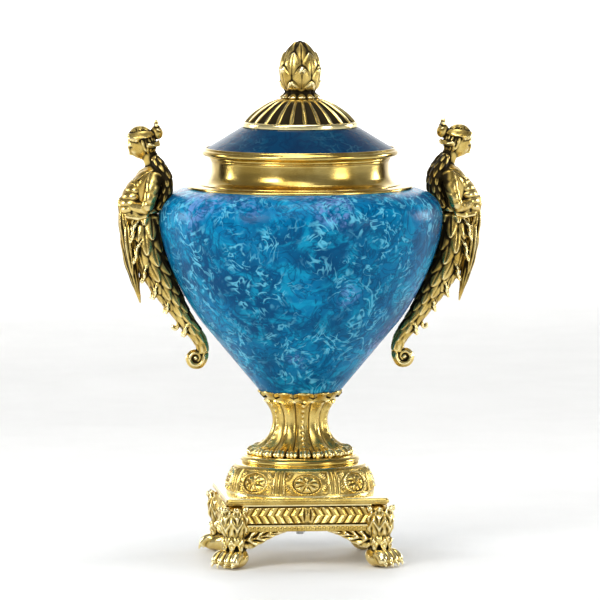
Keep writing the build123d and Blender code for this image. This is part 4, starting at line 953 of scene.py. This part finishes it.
def frieze_surface(node_low, node_high):
    """Closed bar along X: a loop of front points with the garland's height and two back points."""
    half, low, high = node_high[0], node_low[2], node_high[2]
    x = np.linspace(-half, half, 330)[:, None]
    z = np.linspace(low, high, 70)[None, :]
    middle, reach = (low + high) / 2, (high - low) / 2
    v = (z - middle) / reach
    pitch = half / LEAVES_PER_HALF
    wave = np.mod((np.abs(x) + 5.0 * np.abs(v) ** 0.9 - 1.5) / pitch, 1.0)
    body = (1 - smoothstep(0.68, 0.80, np.abs(v))) * smoothstep(2.0, 4.0, np.abs(x))
    leaf = np.sin(pi * wave) ** 0.7 * body
    rib = 0.30 * np.exp(-((wave - 0.5) / 0.09) ** 2) * leaf
    stem = 0.55 * np.exp(-(v / 0.07) ** 2)
    from_berry = np.mod(np.abs(x) / pitch + 0.1, 1.0) - 0.5
    berry = 1.1 * np.exp(-from_berry ** 2 / 0.012 - ((np.abs(v) - 0.60) / 0.10) ** 2)
    border = smoothstep(0.82, 0.88, np.abs(v)) * 1.6
    band = (1 - smoothstep(0.62, 0.72, np.abs(v))) * (0.8 + 0.2 * np.cos(6 * v))
    clasp = 1.9 * np.exp(-(x / 2.0) ** 4) * band
    height = np.maximum(np.maximum(1.75 * leaf + rib, border), np.maximum(stem, clasp)) + 0.3 * berry
    y = -(PLINTH_HALF + 0.15 + 0.95 * height)
    front = np.stack([x + 0 * z, y, z + 0 * x], -1)
    back = np.stack([x + 0 * z, 0 * y - PLINTH_HALF + 1.0, z + 0 * x], -1)[:, ::-1][:, [0, -1]]
    return np.concatenate([front, back], axis=1)


front_frieze = make_piece("frieze_piece_front", [(capped(frieze_surface(*extent("frieze_front"))), False)],
                          gilt_cast, ["frieze_front"], spread=1.5, depth=1.3)
for side, quarter in (("right", 1), ("back", 2), ("left", 3)):
    copy_piece(front_frieze, f"frieze_piece_{side}", Matrix.Rotation(quarter * pi / 2, 4, "Z"),
               [f"frieze_{side}"])

# %% [markdown]
# ## Paw feet
# Each foot is a lion's paw under a knee of acanthus, with a leafy bracket running out each way under the
# plinth. Every part is a limb: ellipses carried along a smooth path. Flattened limbs with lobed widths and
# veins make the leaves.

# %% Limbs
def smooth_run(stations, steps):
    """Catmull-Rom curve through the stations, all columns alike."""
    stations = np.array(stations, float)
    row = np.vstack([2 * stations[0] - stations[1], stations, 2 * stations[-1] - stations[-2]])
    t = np.linspace(0, len(row) - 3, steps)
    i = np.minimum(t.astype(int), len(row) - 4)
    f = (t - i)[:, None]
    a, b, c, d = row[i], row[i + 1], row[i + 2], row[i + 3]
    return 0.5 * (2 * b + (c - a) * f + (2 * a - 5 * b + 4 * c - d) * f ** 2 + (3 * b - a - 3 * c + d)
                  * f ** 3)


def limb(stations, steps=48, sides=32, across=(0, 1, 0), relief=None, blunt=0.12):
    """Ellipses carried along a path. A station is x, y, z, half-width along `across`, half-width the other
    way. relief(t, a) is added to the radius; blunt is the share of the length that rounds off each end."""
    run = smooth_run(stations, steps)
    t = np.linspace(0, 1, steps)[:, None]
    way = np.gradient(run[:, :3], axis=0)
    way /= np.linalg.norm(way, axis=1, keepdims=True)
    wide = np.array(across, float) - way * (way @ np.array(across, float))[:, None]
    wide /= np.linalg.norm(wide, axis=1, keepdims=True)
    deep = np.cross(way, wide)
    angle = np.linspace(0, 2 * pi, sides, endpoint=False)[None, :]
    end = np.minimum(t, 1 - t) / blunt
    taper = np.sqrt(1 - (1 - np.clip(end, 0, 1)) ** 2 + 1e-4)
    size = 1.0 if relief is None else 1 + relief(t, angle)
    u = np.maximum(run[:, 3:4], 0.05) * np.cos(angle) * taper * size
    v = np.maximum(run[:, 4:5], 0.05) * np.sin(angle) * taper * size
    return capped(run[:, None, :3] + u[..., None] * wide[:, None] + v[..., None] * deep[:, None])


def blob(x, y, z, rx, ry, rz, steps=24):
    """Ellipsoid from latitude and longitude."""
    lat = np.linspace(-pi / 2, pi / 2, steps)[:, None]
    lon = np.linspace(0, 2 * pi, 2 * steps, endpoint=False)[None, :]
    return np.stack([x + rx * np.cos(lat) * np.cos(lon), y + ry * np.cos(lat) * np.sin(lon),
                     z + rz * np.sin(lat) + 0 * lon], -1)


def acanthus(stations, lobes=5, across=(0, 1, 0), steps=90, sides=48):
    """A leaf: a flat limb whose edge swings in and out in lobes, with a midrib and side veins."""
    def relief(t, a):
        edge = np.abs(np.cos(a)) ** 3
        swing = 0.30 * (np.abs(np.sin(lobes * pi * t)) ** 0.7 - 0.6) * edge
        face = np.abs(np.sin(a))
        veins = 0.35 * face * np.cos(2 * pi * (lobes * t - 1.1 * np.abs(np.cos(a))))
        rib = 0.55 * face * np.exp(-(np.cos(a) / 0.16) ** 2)
        return swing + veins + rib
    return limb(stations, steps, sides, across, relief, blunt=0.08)


def spun(points, angle, centre=(0, 0)):
    """Turn points about an upright axis."""
    x, y = points[..., 0] - centre[0], points[..., 1] - centre[1]
    return np.stack([centre[0] + x * cos(angle) - y * sin(angle), centre[1] + x * sin(angle) + y * cos(angle),
                     points[..., 2]], -1)


# %% One foot, facing +X
PAW_X = CORNER_REACH + 3.0      # middle of the paw and of the knee, out from the urn's axis
# Rows of the tables: out from the middle of the paw, sideways, height, two half-widths.
PAD = [(-9, 0, 6.5, 7.5, 6.5), (-4, 0, 8, 10.5, 8), (2, 0, 7.5, 11.8, 7.5), (8, 0, 5.6, 10.8, 5.6),
       (11, 0, 4.5, 9, 4.2)]
LEG = [(-1.5, 0, 6, 10, 9), (-2, 0, 14, 8, 7.8), (-1, 0, 20, 7.6, 7.4), (-0.5, 0, 28, 9, 8.6),
       (0, 0, 36, 9.4, 9), (-1, 0, 43, 8.6, 8), (-2, 0, 49.5, 7, 6)]
TUFT = [(5, 0, 26, 3.4, 1.7), (7.6, 0, 21.5, 4, 1.9), (7.8, 0, 17, 2.7, 1.5), (8.8, 0, 13.6, 1, 0.9)]
TOES = (-1.0, -0.34, 0.34, 1.0)
KNEE_LEAVES = ((0, 1.0), (52, 0.86), (-52, 0.86), (100, 0.7), (-100, 0.7))      # turn and size
# Out from the corner along the plinth's edge, height, half-height, half-thickness.
BRACKET = ((4, 22.5, 7.5, 4.2), (11, 22.8, 7.6, 4.0), (18, 24.0, 6.0, 3.8), (25, 26.0, 4.2, 3.4),
           (32, 27.6, 2.6, 2.8), (38, 28.6, 1.4, 2.0), (42, 28.9, 0.8, 1.2))


def at_paw(stations):
    """A foot's table moved out to the middle of the paw."""
    return np.array(stations, float) + [PAW_X, 0, 0, 0, 0]


def toe_surfaces(spread):
    """One toe and its claw; spread runs from -1 to 1 across the paw."""
    y = 9.0 * spread
    back = 1.5 * spread ** 2
    toe = [(1, 0.8 * y, 9.4, 3.2, 3.0), (6.5, 0.96 * y, 10.6, 3.7, 3.8), (10.6, 1.05 * y, 7.8, 3.6, 3.9),
           (13.6 - back, 1.12 * y, 3.6, 3.2, 3.3)]
    claw = [(13.0 - back, 1.12 * y, 5.4, 1.7, 1.5), (16.2 - back, 1.14 * y, 3.8, 1.3, 1.2),
            (17.0 - back, 1.15 * y, 1.2, 0.5, 0.5)]
    return [limb(at_paw(toe), 40, 28), limb(at_paw(claw), 20, 14)]


def knee_leaf(size):
    """A leaf that stands against the knee and curls over at its tip."""
    return [(4, 0, 22, 3.0, 1.5), (7.8, 0, 29, 5.6 * size, 1.8), (9, 0, 36, 6.2 * size, 1.9),
            (9, 0, 42, 5.0 * size, 1.7), (8 + 2.0 * size, 0, 46.4, 3.2 * size, 1.5),
            (8 + 3.6 * size, 0, 46.6, 1.9, 1.4), (8 + 4.2 * size, 0, 44.4, 1.4, 1.3)]


def foot_surfaces():
    """Heel, toes with claws, leg, knee leaves and brackets, for a corner that faces +X."""
    def fur(t, a):
        return 0.10 * np.abs(np.sin(5 * a)) ** 0.6 * smoothstep(0.2, 0.4, t) - 0.03

    parts = [limb(at_paw(PAD)), limb(at_paw(LEG), 70, 64, relief=fur)]
    for spread in TOES:
        parts += toe_surfaces(spread)
    for turn, size in KNEE_LEAVES:
        parts.append(spun(acanthus(at_paw(knee_leaf(size))), radians(turn), (PAW_X, 0)))
    for turn in (26, -26, 78, -78):
        parts.append(spun(acanthus(at_paw(TUFT), 3), radians(turn), (PAW_X, 0)))
    corner = sqrt(2) * (PLINTH_HALF - 3.0)
    for side in (1, -1):
        way = np.array([cos(radians(135)), side * sin(radians(135))])
        stations = [(corner + way[0] * reach, way[1] * reach, z, tall, thick)
                    for reach, z, tall, thick in BRACKET]
        parts.append(acanthus(stations, 6, across=(0, 0, 1)))
        parts.append(blob(corner + way[0] * 12, way[1] * 12, 18.5, 3.6, 3.6, 3.4, 14))
    for part in parts:
        part[..., 2] = np.clip(part[..., 2], 0.0, PLATE_Z - 0.05)
    return [(part, False) for part in parts]


def turned_to_corner(surfaces, degrees_round):
    """The same surfaces turned about the urn's axis."""
    return [(spun(points, radians(degrees_round)), ring) for points, ring in surfaces]


first_foot = make_piece("paw_back_right", turned_to_corner(foot_surfaces(), 45), gilt_cast,
                        ["foot_back_right"], voxel=0.54, passes=2, spread=2.0, depth=1.4)
for corner_name, quarter in (("back_left", 1), ("front_left", 2), ("front_right", 3)):
    copy_piece(first_foot, f"paw_{corner_name}", Matrix.Rotation(quarter * pi / 2, 4, "Z"),
               [f"foot_{corner_name}"])

# %% [markdown]
# ## The handles
# Each handle is a draped half-figure that leans out from the shoulder of the vessel, with long wings folded
# down the back and a sash in the hands. Below the waist the body turns into a tapering tail of leaves that
# follows the vessel's side and ends in a scroll. The face is a general one on the usual proportions: eyes
# half-way up the head, the nose's foot half-way from brow to chin, the mouth a third of the way below it.

# %% Head
HEAD = np.array([BELLY_R + 13.0, 0, BELLY_Z + 59.0])
HEAD_TILT = radians(24)
HEAD_SIZE = 1.22


def head_frame(points):
    """From the head's own frame (forward, side, up) to its place: tilted down about the side axis."""
    forward, side, up = (HEAD_SIZE * points[..., k] for k in range(3))
    return np.stack([HEAD[0] + forward * cos(HEAD_TILT) + up * sin(HEAD_TILT), HEAD[1] + side,
                     HEAD[2] - forward * sin(HEAD_TILT) + up * cos(HEAD_TILT)], -1)


def bump_at(side, up, y, z, wide, tall):
    """A soft round bump on the face, centred at (y, z)."""
    return np.exp(-((side - y) / wide) ** 2 - ((up - z) / tall) ** 2)


def head_surface():
    """An egg, pushed out or in by bumps for brow, eyes, nose, cheeks, lips and chin."""
    lat = np.linspace(-pi / 2, pi / 2, 110)[:, None]
    lon = np.linspace(-pi, pi, 160, endpoint=False)[None, :]
    up = 10.4 * np.sin(lat) + 0 * lon
    jaw = 1 - 0.20 * smoothstep(0, -10, up)
    forward = 8.6 * np.cos(lat) * np.cos(lon) * np.where(np.cos(lon) > 0, 1.0, 1.04)
    side = 7.4 * jaw * np.cos(lat) * np.sin(lon)
    face = smoothstep(0.15, 0.6, np.cos(lon)) * np.cos(lat) ** 0.3
    mirror = np.abs(side)
    push = (
        0.75 * bump_at(mirror, up, 2.6, 2.3, 2.4, 0.9) - 1.25 * bump_at(mirror, up, 3.0, 0.2, 1.7, 1.25)
        + 0.75 * bump_at(mirror, up, 3.0, 0.0, 1.15, 0.62) + 0.6 * bump_at(mirror, up, 4.0, -3.2, 1.8, 1.8)
        + 1.2 * bump_at(side, up, 0, -0.6, 0.85, 2.0) + 2.3 * bump_at(side, up, 0, -3.6, 1.05, 1.25)
        + 0.7 * bump_at(mirror, up, 1.15, -4.2, 0.6, 0.6)
        + 0.75 * bump_at(side, up, 0, -6.2, 1.9, 0.45) + 0.70 * bump_at(side, up, 0, -7.3, 1.6, 0.45)
        - 0.35 * bump_at(side, up, 0, -6.75, 2.0, 0.25) - 0.45 * bump_at(side, up, 0, -8.2, 1.6, 0.5)
        + 0.95 * bump_at(side, up, 0, -9.4, 1.9, 1.1))
    return head_frame(np.stack([forward + push * face, side, up], -1))


def lock(points, thickness=1.2):
    """A lock of hair through points of the head's frame, waved along its length."""
    stations = np.array([[*point, HEAD_SIZE * thickness, 0.8 * HEAD_SIZE * thickness] for point in points],
                        float)
    stations[:, :3] = head_frame(stations[:, :3])
    return limb(stations, 40, 16, relief=lambda t, a: 0.22 * np.cos(3 * a + 9 * t))


def on_head(lift, lon, up):
    """A point `lift` above the egg of the head, at a longitude and a height in the head's frame."""
    ring = sqrt(1 - (up / 10.4) ** 2)
    return ((8.6 + lift) * ring * cos(lon), (7.4 + lift) * ring * sin(lon), up)


def hair_surfaces():
    """Scalp cap, waved locks swept back from the brow on both sides, a rolled nape and a knot behind."""
    share = np.linspace(0, 1, 80)[:, None]
    lon = np.linspace(-pi, pi, 200, endpoint=False)[None, :]
    hairline = -0.85 + 1.50 * smoothstep(-0.30, 0.85, np.cos(lon))
    lift = hairline + (pi / 2 - hairline) * share
    wave = 0.42 * np.cos(9 * lift + 4 * np.cos(2 * lon)) * np.cos(10 * lon) + 0.3 * np.cos(24 * lon + 3
                                                                                           * lift)
    swell = 1 - 0.12 * (1 - share) ** 3
    cap = head_frame(np.stack([(9.5 + wave) * swell * np.cos(lift) * np.cos(lon) - 0.5,
                               (8.3 + wave) * swell * np.cos(lift) * np.sin(lon),
                               (11.1 + 0.5 * wave) * np.sin(lift) + 0.3], -1))
    parts = [capped(cap)]
    for side in (-1, 1):
        for row in range(6):
            lon, up = 0.12 + 0.20 * row, 7.8 - 0.9 * row
            parts.append(lock([on_head(0.7, side * lon, up), on_head(1.3, side * (lon + 0.45), up + 0.8),
                               on_head(1.4, side * (1.65 + 0.04 * row), 0.8 * up + 1.2),
                               on_head(1.1, side * 2.35, 0.6 * up + 0.9),
                               on_head(1.6, side * 2.9, 0.4 * up + 0.8)], 1.15))
        parts.append(lock([(-2, side * 7.8, -1.5), (-6, side * 6.8, -3.6), (-9.0, side * 3.4, -4.4),
                           (-10, 0, -4.2)], 1.9))
    parts.append(head_frame(blob(-12.0, 0, 2.4, 3.9, 4.4, 4.6)))
    for turn in range(5):
        angle = turn * 2 * pi / 5
        parts.append(lock([(-12.6 - 0.7 * k, 3.6 * cos(angle + 0.7 * k),
                            2.6 + 1.5 * k + 3.0 * sin(angle + 0.7 * k)) for k in (0, 1, 2, 3)], 1.35))
    return parts


# %% [markdown]
# The trunk, arms and wings are limbs too. Cloth is a ripple along a limb: slanting folds across the chest,
# tight rings in the sleeves, and deep pleats in the sash. Feathers use the same overlapping leaf pattern as
# the bud.

# %% Tables and folds
def on_handle(stations, side=1):
    """Stations given as forward of the belly, sideways, above the widest level, and two half-widths."""
    stations = np.array(stations, float)
    stations[:, 0] += BELLY_R
    stations[:, 1] *= side
    stations[:, 2] += BELLY_Z
    return stations


def creases(wave):
    """Sharp creases between round folds: |sin(wave)| raised to a low power, about level on average."""
    return np.abs(np.sin(wave)) ** 0.6 - 0.6


TRUNK = [(8.5, 0, 2.5, 12.2, 11.8), (9, 0, 9, 11.6, 11), (9.5, 0, 16, 12.8, 11.4), (8.5, 0, 24, 15.4, 12.2),
         (6, 0, 31, 17.2, 11.2), (3.5, 0, 37, 15.6, 8.4), (2.5, 0, 42, 8.6, 6), (3, 0, 46, 6, 5)]
THROAT = [(2, 0, 36, 9.4, 7.8), (3.6, 0, 42, 7, 6.8), (6, 0, 48, 6, 6.2), (10, 0, 55, 6.2, 6.6)]
ARM = [(2.5, 13.5, 36.5, 6, 6), (5, 17.6, 28, 5.5, 5.5), (8, 19, 16, 4.9, 4.9), (11, 17.8, 9.5, 4.8, 4.8),
       (18, 12.5, 9.5, 4.2, 4.2), (24.5, 6.5, 11.8, 3.5, 3.5), (28, 2.6, 12.6, 3, 2.8)]
NECKLINE = [(3.5, 9, 40, 2, 1.3), (12, 10, 35, 2.2, 1.3), (18.5, 6, 30, 2, 1.3), (21.5, 1, 26, 1.8, 1.2)]
WING = [(3.5, 5.5, 49.5, 3.4, 2.8), (-0.5, 8.2, 42.5, 6.2, 4.2), (-4.8, 9.6, 34, 7, 4.8),
        (-6, 9.8, 25, 7, 4.8), (-4, 9.4, 16, 6.2, 4.4), (0.5, 8, 6.5, 3.8, 3.2)]
WRAP = [(13.5, 0, 31, 9.5, 5.4), (17.5, 0, 23, 11.6, 7.6), (20.5, 0, 15, 12.4, 8.8), (21.5, 0, 8, 12.6, 8.8),
        (20.5, 0, 2, 11, 7.4)]
BELT = [(8, -15, 6, 4, 3.2), (19, -11, 4, 4.8, 3.6), (25.5, 0, 4.5, 5.2, 3.6), (19, 11, 4, 4.8, 3.6),
        (8, 15, 6, 4, 3.2)]
FINGER = [(27.5, 3.6, 15.4, 1.25, 1.25), (30.4, 1.4, 15.2, 1.25, 1.25), (30.8, -2, 14.4, 1, 1)]
FINGER_PITCH = (1.9, 2.0, 2.0)      # how far each finger's stations lie below those of the one above


# %% Figure
def figure_surfaces():
    """Trunk, neck, head, hair, arms, wings, hands, wrap and belt of the +X figure."""
    def chest_folds(t, a):
        bare = smoothstep(0.66, 0.80, t)
        return 0.10 * creases(4 * a + 7 * t + 0.8 * np.sin(9 * t)) * smoothstep(0.02, 0.10, t) * (1 - bare)

    def wrap_folds(t, a):
        return 0.11 * creases(pi * (6 * t + 1.3 * np.cos(a + 0.7) + 0.2 * np.sin(3 * a)))

    def sleeve(t, a):
        cuff = smoothstep(0.12, 0.2, t) * (1 - smoothstep(0.50, 0.62, t))
        return 0.12 * creases(pi * (9 * t + 0.5 * np.cos(a))) * cuff

    def feathers(t, a):
        return 0.42 * (leaf_rows(t, a, 8, 6) - 0.4)

    def twist(t, a):
        return 0.16 * np.cos(4 * a + 14 * t) + 0.08 * np.sin(40 * t)

    parts = [limb(on_handle(TRUNK), 90, 96, relief=chest_folds, blunt=0.05), limb(on_handle(THROAT)),
             head_surface()]
    parts += hair_surfaces()
    for side in (-1, 1):
        parts.append(blob(BELLY_R + 14.8, side * 6.8, BELLY_Z + 25.5, 5.8, 6.0, 6.2))
        parts.append(limb(on_handle(ARM, side), 90, 40, relief=sleeve, blunt=0.06))
        parts.append(limb(on_handle(NECKLINE, side), 40, 16))
        parts.append(limb(on_handle(WING, side), 120, 60, relief=feathers, blunt=0.05))
        for number in range(4):
            finger = on_handle(FINGER, side)
            finger[:, 2] -= number * np.array(FINGER_PITCH)
            parts.append(limb(finger, 16, 12))
    parts.append(blob(BELLY_R + 28.3, 0, BELLY_Z + 12.0, 3.0, 4.2, 4.2))
    parts.append(limb(on_handle(WRAP), 100, 90, relief=wrap_folds, blunt=0.14))
    parts.append(limb(on_handle(BELT), 90, 40, across=(0, 0, 1), relief=twist))
    return [(press_to_vessel(part), False) for part in parts]


def figure_back_shade(place):
    """Painted shade on the hair and on the wings where they turn to the vessel, over a slight darkening all
    over.
    """
    forward, rise = place[:, 0] - HEAD[0], place[:, 2] - HEAD[2]
    along = (forward * cos(HEAD_TILT) - rise * sin(HEAD_TILT)) / HEAD_SIZE
    up = (forward * sin(HEAD_TILT) + rise * cos(HEAD_TILT)) / HEAD_SIZE
    hair = smoothstep(-0.5, 1.5, 0.55 * up - along) * smoothstep(-8.0, -6.0, up)
    behind = 1 - smoothstep(BELLY_R - 3.0, BELLY_R + 5.0, place[:, 0] - 0.10 * (place[:, 2] - BELLY_Z))
    wings = behind * (1 - smoothstep(BELLY_Z + 50, BELLY_Z + 54, place[:, 2]))
    return 0.05 + 0.18 * hair + 0.38 * wings


# painted shade on the hair and on the wings against the vessel
right_figure = make_piece("figure_right", figure_surfaces(), gilt_cast, ["handle_right_figure"],
                          voxel=0.45, passes=1, spread=1.8, depth=1.2, stain_and_shade=figure_back_shade)


# %% Tail and scroll
# Each row: drop below the waist, gap from the vessel's skin to the middle, half-width, half-depth.
TAIL = np.array([(0, 9.6, 12.3, 13.2), (20, 10.4, 15, 13.4), (38, 12.6, 14, 12.4), (54, 11.5, 12, 11.5),
                 (66, 11.2, 10, 9.5), (77, 11.3, 8.2, 7.4), (89, 12, 6.7, 6.3), (101, 13.5, 5.6, 5.3),
                 (112, 20, 4.6, 4.4)])
SPRAYS = [(14, 1.15), (30, 1.2), (46, 1.1), (60, 1.0), (73, 0.8), (92, 0.75)]      # drop and size
SCROLL_R = 6.4
TENDRIL_DROP = 88.0


def spray(x, y, z, size):
    """A leaf that lies on the tail and turns out at its tip."""
    return acanthus([(x - 2, y, z + 9 * size, 3.4 * size, 1.3),
                     (x + 2.2 * size, y * 1.1, z + 3 * size, 4 * size, 1.4),
                     (x + 3.2 * size, y * 1.2, z - 4 * size, 2.8 * size, 1.2),
                     (x + 5.2 * size, y * 1.25, z - 8 * size, 1.1 * size, 0.9)], 3, steps=40, sides=28)


def tail_surfaces():
    """Leafy tail that follows the vessel's skin down from the waist, then a spiral, sprays and a tendril."""
    top = BELLY_Z + 4.0
    drop, gap, wide, deep = TAIL.T
    level = top - drop
    middle = np.interp(level, outside[:, 1], outside[:, 0]) + gap
    stations = np.stack([middle, 0 * drop, level, wide, deep], -1)
    end_x, end_z = middle[-1], level[-1]

    def scales(t, a):
        return 0.26 * (leaf_rows(t, a + pi / 2, 13, 7, 0.25) - 0.45)

    def reeds(t, a):
        return 0.10 * np.cos(4 * a)

    parts = [limb(stations, 260, 120, relief=scales, blunt=0.02)]
    turn = np.linspace(0, 1, 9)
    angle = pi + 2.6 * pi * turn
    radius = SCROLL_R * (1 - 0.62 * turn)
    eye_x, eye_z = end_x + SCROLL_R, end_z - 3.0
    spiral = np.stack([eye_x + radius * np.cos(angle), 0 * turn, eye_z + radius * np.sin(angle),
                       4.2 - 1.6 * turn, 3.3 - 1.3 * turn], -1)
    parts.append(limb(np.vstack([[(end_x - 0.2, 0, end_z + 5.0, 4.7, 4.6)], spiral]), 110, 32, relief=reeds))
    parts.append(blob(eye_x, 0, eye_z, 2.4, 3.4, 2.4, 14))
    for fall, size in SPRAYS:
        x = np.interp(fall, drop, middle + 0.72 * deep)
        for side in (-0.55, 0, 0.55):
            parts.append(spray(x - 3.0 * side ** 2, side * np.interp(fall, drop, wide) * 1.2, top - fall,
                               size))
    x, z = np.interp(TENDRIL_DROP, drop, middle), top - TENDRIL_DROP
    parts.append(limb([(x + 3, 0, z + 7, 2.2, 1.8), (x + 7.5, 0, z + 1, 2, 1.6),
                       (x + 9.6, 0, z - 3.6, 1.8, 1.5), (x + 12.2, 0, z - 2.8, 1.6, 1.5),
                       (x + 11.8, 0, z - 0.2, 1.4, 1.3)], 40, 20))
    return [(press_to_vessel(part), False) for part in parts]


def tail_skin_shade(place):
    """Painted shade thickest along the vessel's skin, over a slight darkening all over."""
    skin = np.interp(place[:, 2], outside[:, 1], outside[:, 0])
    return 0.08 + 0.34 * (1 - smoothstep(2.0, 11.0, np.hypot(place[:, 0], place[:, 1]) - skin))


# painted shade where the tail lies against the vessel
right_tail = make_piece("tail_right", tail_surfaces(), gilt_cast, ["handle_right_tail"],
                        voxel=0.5, passes=1, spread=1.8, depth=1.2, stain_and_shade=tail_skin_shade)


# %% Sash
SASH = [(29, 0, 13, 3.8, 3), (27.6, 0, 4, 5.4, 3.4), (25.4, 0, -9, 7, 4.6), (23, 0, -24, 7.6, 5.6),
        (20.6, 0, -38, 5.8, 4.8), (17.8, 0, -51, 3.4, 3), (15.4, 0, -61, 1.5, 1.5), (14, 0, -67.5, 0.6, 0.6)]
SIDE_FALL = [(25, 4, -4, 3.2, 2.6), (24.5, 6, -18, 3.8, 3), (22.6, 6.8, -32, 3, 2.6),
             (20.4, 7, -46, 0.7, 0.7)]
FRONT_FALL = [(28.8, 2.5, 8, 2.4, 2), (29.2, 3.5, -5, 2.4, 1.8), (28, 3.6, -15, 1.5, 1.3),
              (27.2, 3.8, -22, 0.6, 0.6)]


def sash_surfaces():
    """Pleated cloth that falls from the hands to a point, with shorter falls beside it."""
    def pleats(t, a):
        return 0.20 * np.abs(np.cos(5 * a + 1.5 * np.sin(7 * t))) ** 0.7 - 0.10 + 0.05 * np.sin(12 * pi * t)

    def small_pleats(t, a):
        return 0.16 * np.cos(5 * a)

    parts = [limb(on_handle(SASH), 150, 90, relief=pleats, blunt=0.03)]
    for side in (-1, 1):
        parts.append(limb(on_handle(SIDE_FALL, side), 60, 36, relief=small_pleats))
        parts.append(limb(on_handle(FRONT_FALL, side), 60, 30, relief=small_pleats))
    return [(part, False) for part in parts]


def sash_darkening(place):
    """The sash is darker all over, more towards its points."""
    return 0.16 + 0.16 * (1 - smoothstep(BELLY_Z - 50, BELLY_Z - 15, place[:, 2]))


right_sash = make_piece("sash_right", sash_surfaces(), gilt_cast, ["handle_right_sash"],
                        voxel=0.44, passes=1, spread=1.8, depth=1.2, stain_and_shade=sash_darkening)

# %% The left handle is the right one mirrored
across_x = Matrix.Scale(-1, 4, Vector((1, 0, 0)))
for piece, part in ((right_figure, "figure"), (right_tail, "tail"), (right_sash, "sash")):
    copy_piece(piece, f"{part}_left", across_x, [f"handle_left_{part}"])

# %% [markdown]
# ## Floor, light and camera
# A pale floor, a large soft light on each side and one above. Between them the room stays darker, which is
# what draws the long bright and dark bands on burnished metal.

# %% Floor
def floor_surface():
    """Level floor that sweeps up into a far wall: y and z follow a quarter circle of 4 m."""
    bend = np.radians(np.linspace(-90, 0, 24))
    y = np.concatenate([[-12.0, 7.0], 7.0 + 4.0 * np.cos(bend), [11.0]])
    z = np.concatenate([[0.0, 0.0], 4.0 + 4.0 * np.sin(bend), [12.0]])
    return [(side, y[k], z[k]) for k in range(len(y)) for side in (-12.0, 12.0)]


floor_points = floor_surface()
floor_mesh = bpy.data.meshes.new("floor")
floor_mesh.from_pydata(floor_points, [],
                       [(k, k + 1, k + 3, k + 2) for k in range(0, len(floor_points) - 2, 2)])
floor_mesh.polygons.foreach_set("use_smooth", np.ones(len(floor_mesh.polygons), bool))
floor_mesh.materials.append(plain_material("floor", (0.80, 0.80, 0.79, 1), (0.84, 0.84, 0.83, 1), 6.0, 0.6,
                                           0.0, 0.0))
floor_object = bpy.data.objects.new("floor", floor_mesh)
bpy.context.scene.collection.objects.link(floor_object)


# %% Lights
def soft_light(name, place, size, power, aim=(0, 0, 0.2)):
    """A square area light at a place, turned to its aim."""
    light = bpy.data.lights.new(name, "AREA")
    light.shape, light.size, light.energy = "SQUARE", size, power
    holder = bpy.data.objects.new(name, light)
    holder.location = place
    holder.rotation_euler = (Vector(aim) - Vector(place)).to_track_quat("-Z", "Y").to_euler()
    bpy.context.scene.collection.objects.link(holder)


soft_light("key_left", (-1.5, -1.6, 1.2), 0.8, 26)
soft_light("fill_right", (1.7, -1.5, 0.5), 0.6, 9)
soft_light("rim_left", (-1.7, 0.7, 0.5), 0.5, 12)
soft_light("rim_right", (1.7, 0.7, 0.5), 0.5, 12)
soft_light("top", (0.1, -0.2, 2.0), 0.9, 14)
soft_light("wall", (0.0, 5.5, 5.5), 5.0, 900, (0.0, 10.5, 1.5))

sun = bpy.data.lights.new("even_light", "SUN")
sun.energy, sun.angle = 0.9, radians(40)
sun_holder = bpy.data.objects.new("even_light", sun)
sun_holder.rotation_euler = (radians(42), 0, radians(-18))
bpy.context.scene.collection.objects.link(sun_holder)

world = bpy.data.worlds.new("studio")
bpy.context.scene.world = world
world.use_nodes = True
world.node_tree.nodes["Background"].inputs["Color"].default_value = (0.93, 0.94, 0.95, 1)
world.node_tree.nodes["Background"].inputs["Strength"].default_value = 0.24
bpy.context.scene.view_settings.view_transform = "Standard"

# %% Camera
CAMERA_AZIMUTH = radians(-5.5)
CAMERA_DISTANCE = 6.0
CAMERA_HEIGHT = 0.72
AIM_Z = 0.5 * cad_box[1][2]
camera_data = bpy.data.cameras.new("camera")
camera_data.lens = 457
camera = bpy.data.objects.new("camera", camera_data)
camera.location = (CAMERA_DISTANCE * sin(CAMERA_AZIMUTH), -CAMERA_DISTANCE * cos(CAMERA_AZIMUTH),
                   CAMERA_HEIGHT)
camera.rotation_euler = (Vector((0, 0, AIM_Z)) - camera.location).to_track_quat("-Z", "Y").to_euler()
bpy.context.scene.collection.objects.link(camera)
bpy.context.scene.camera = camera
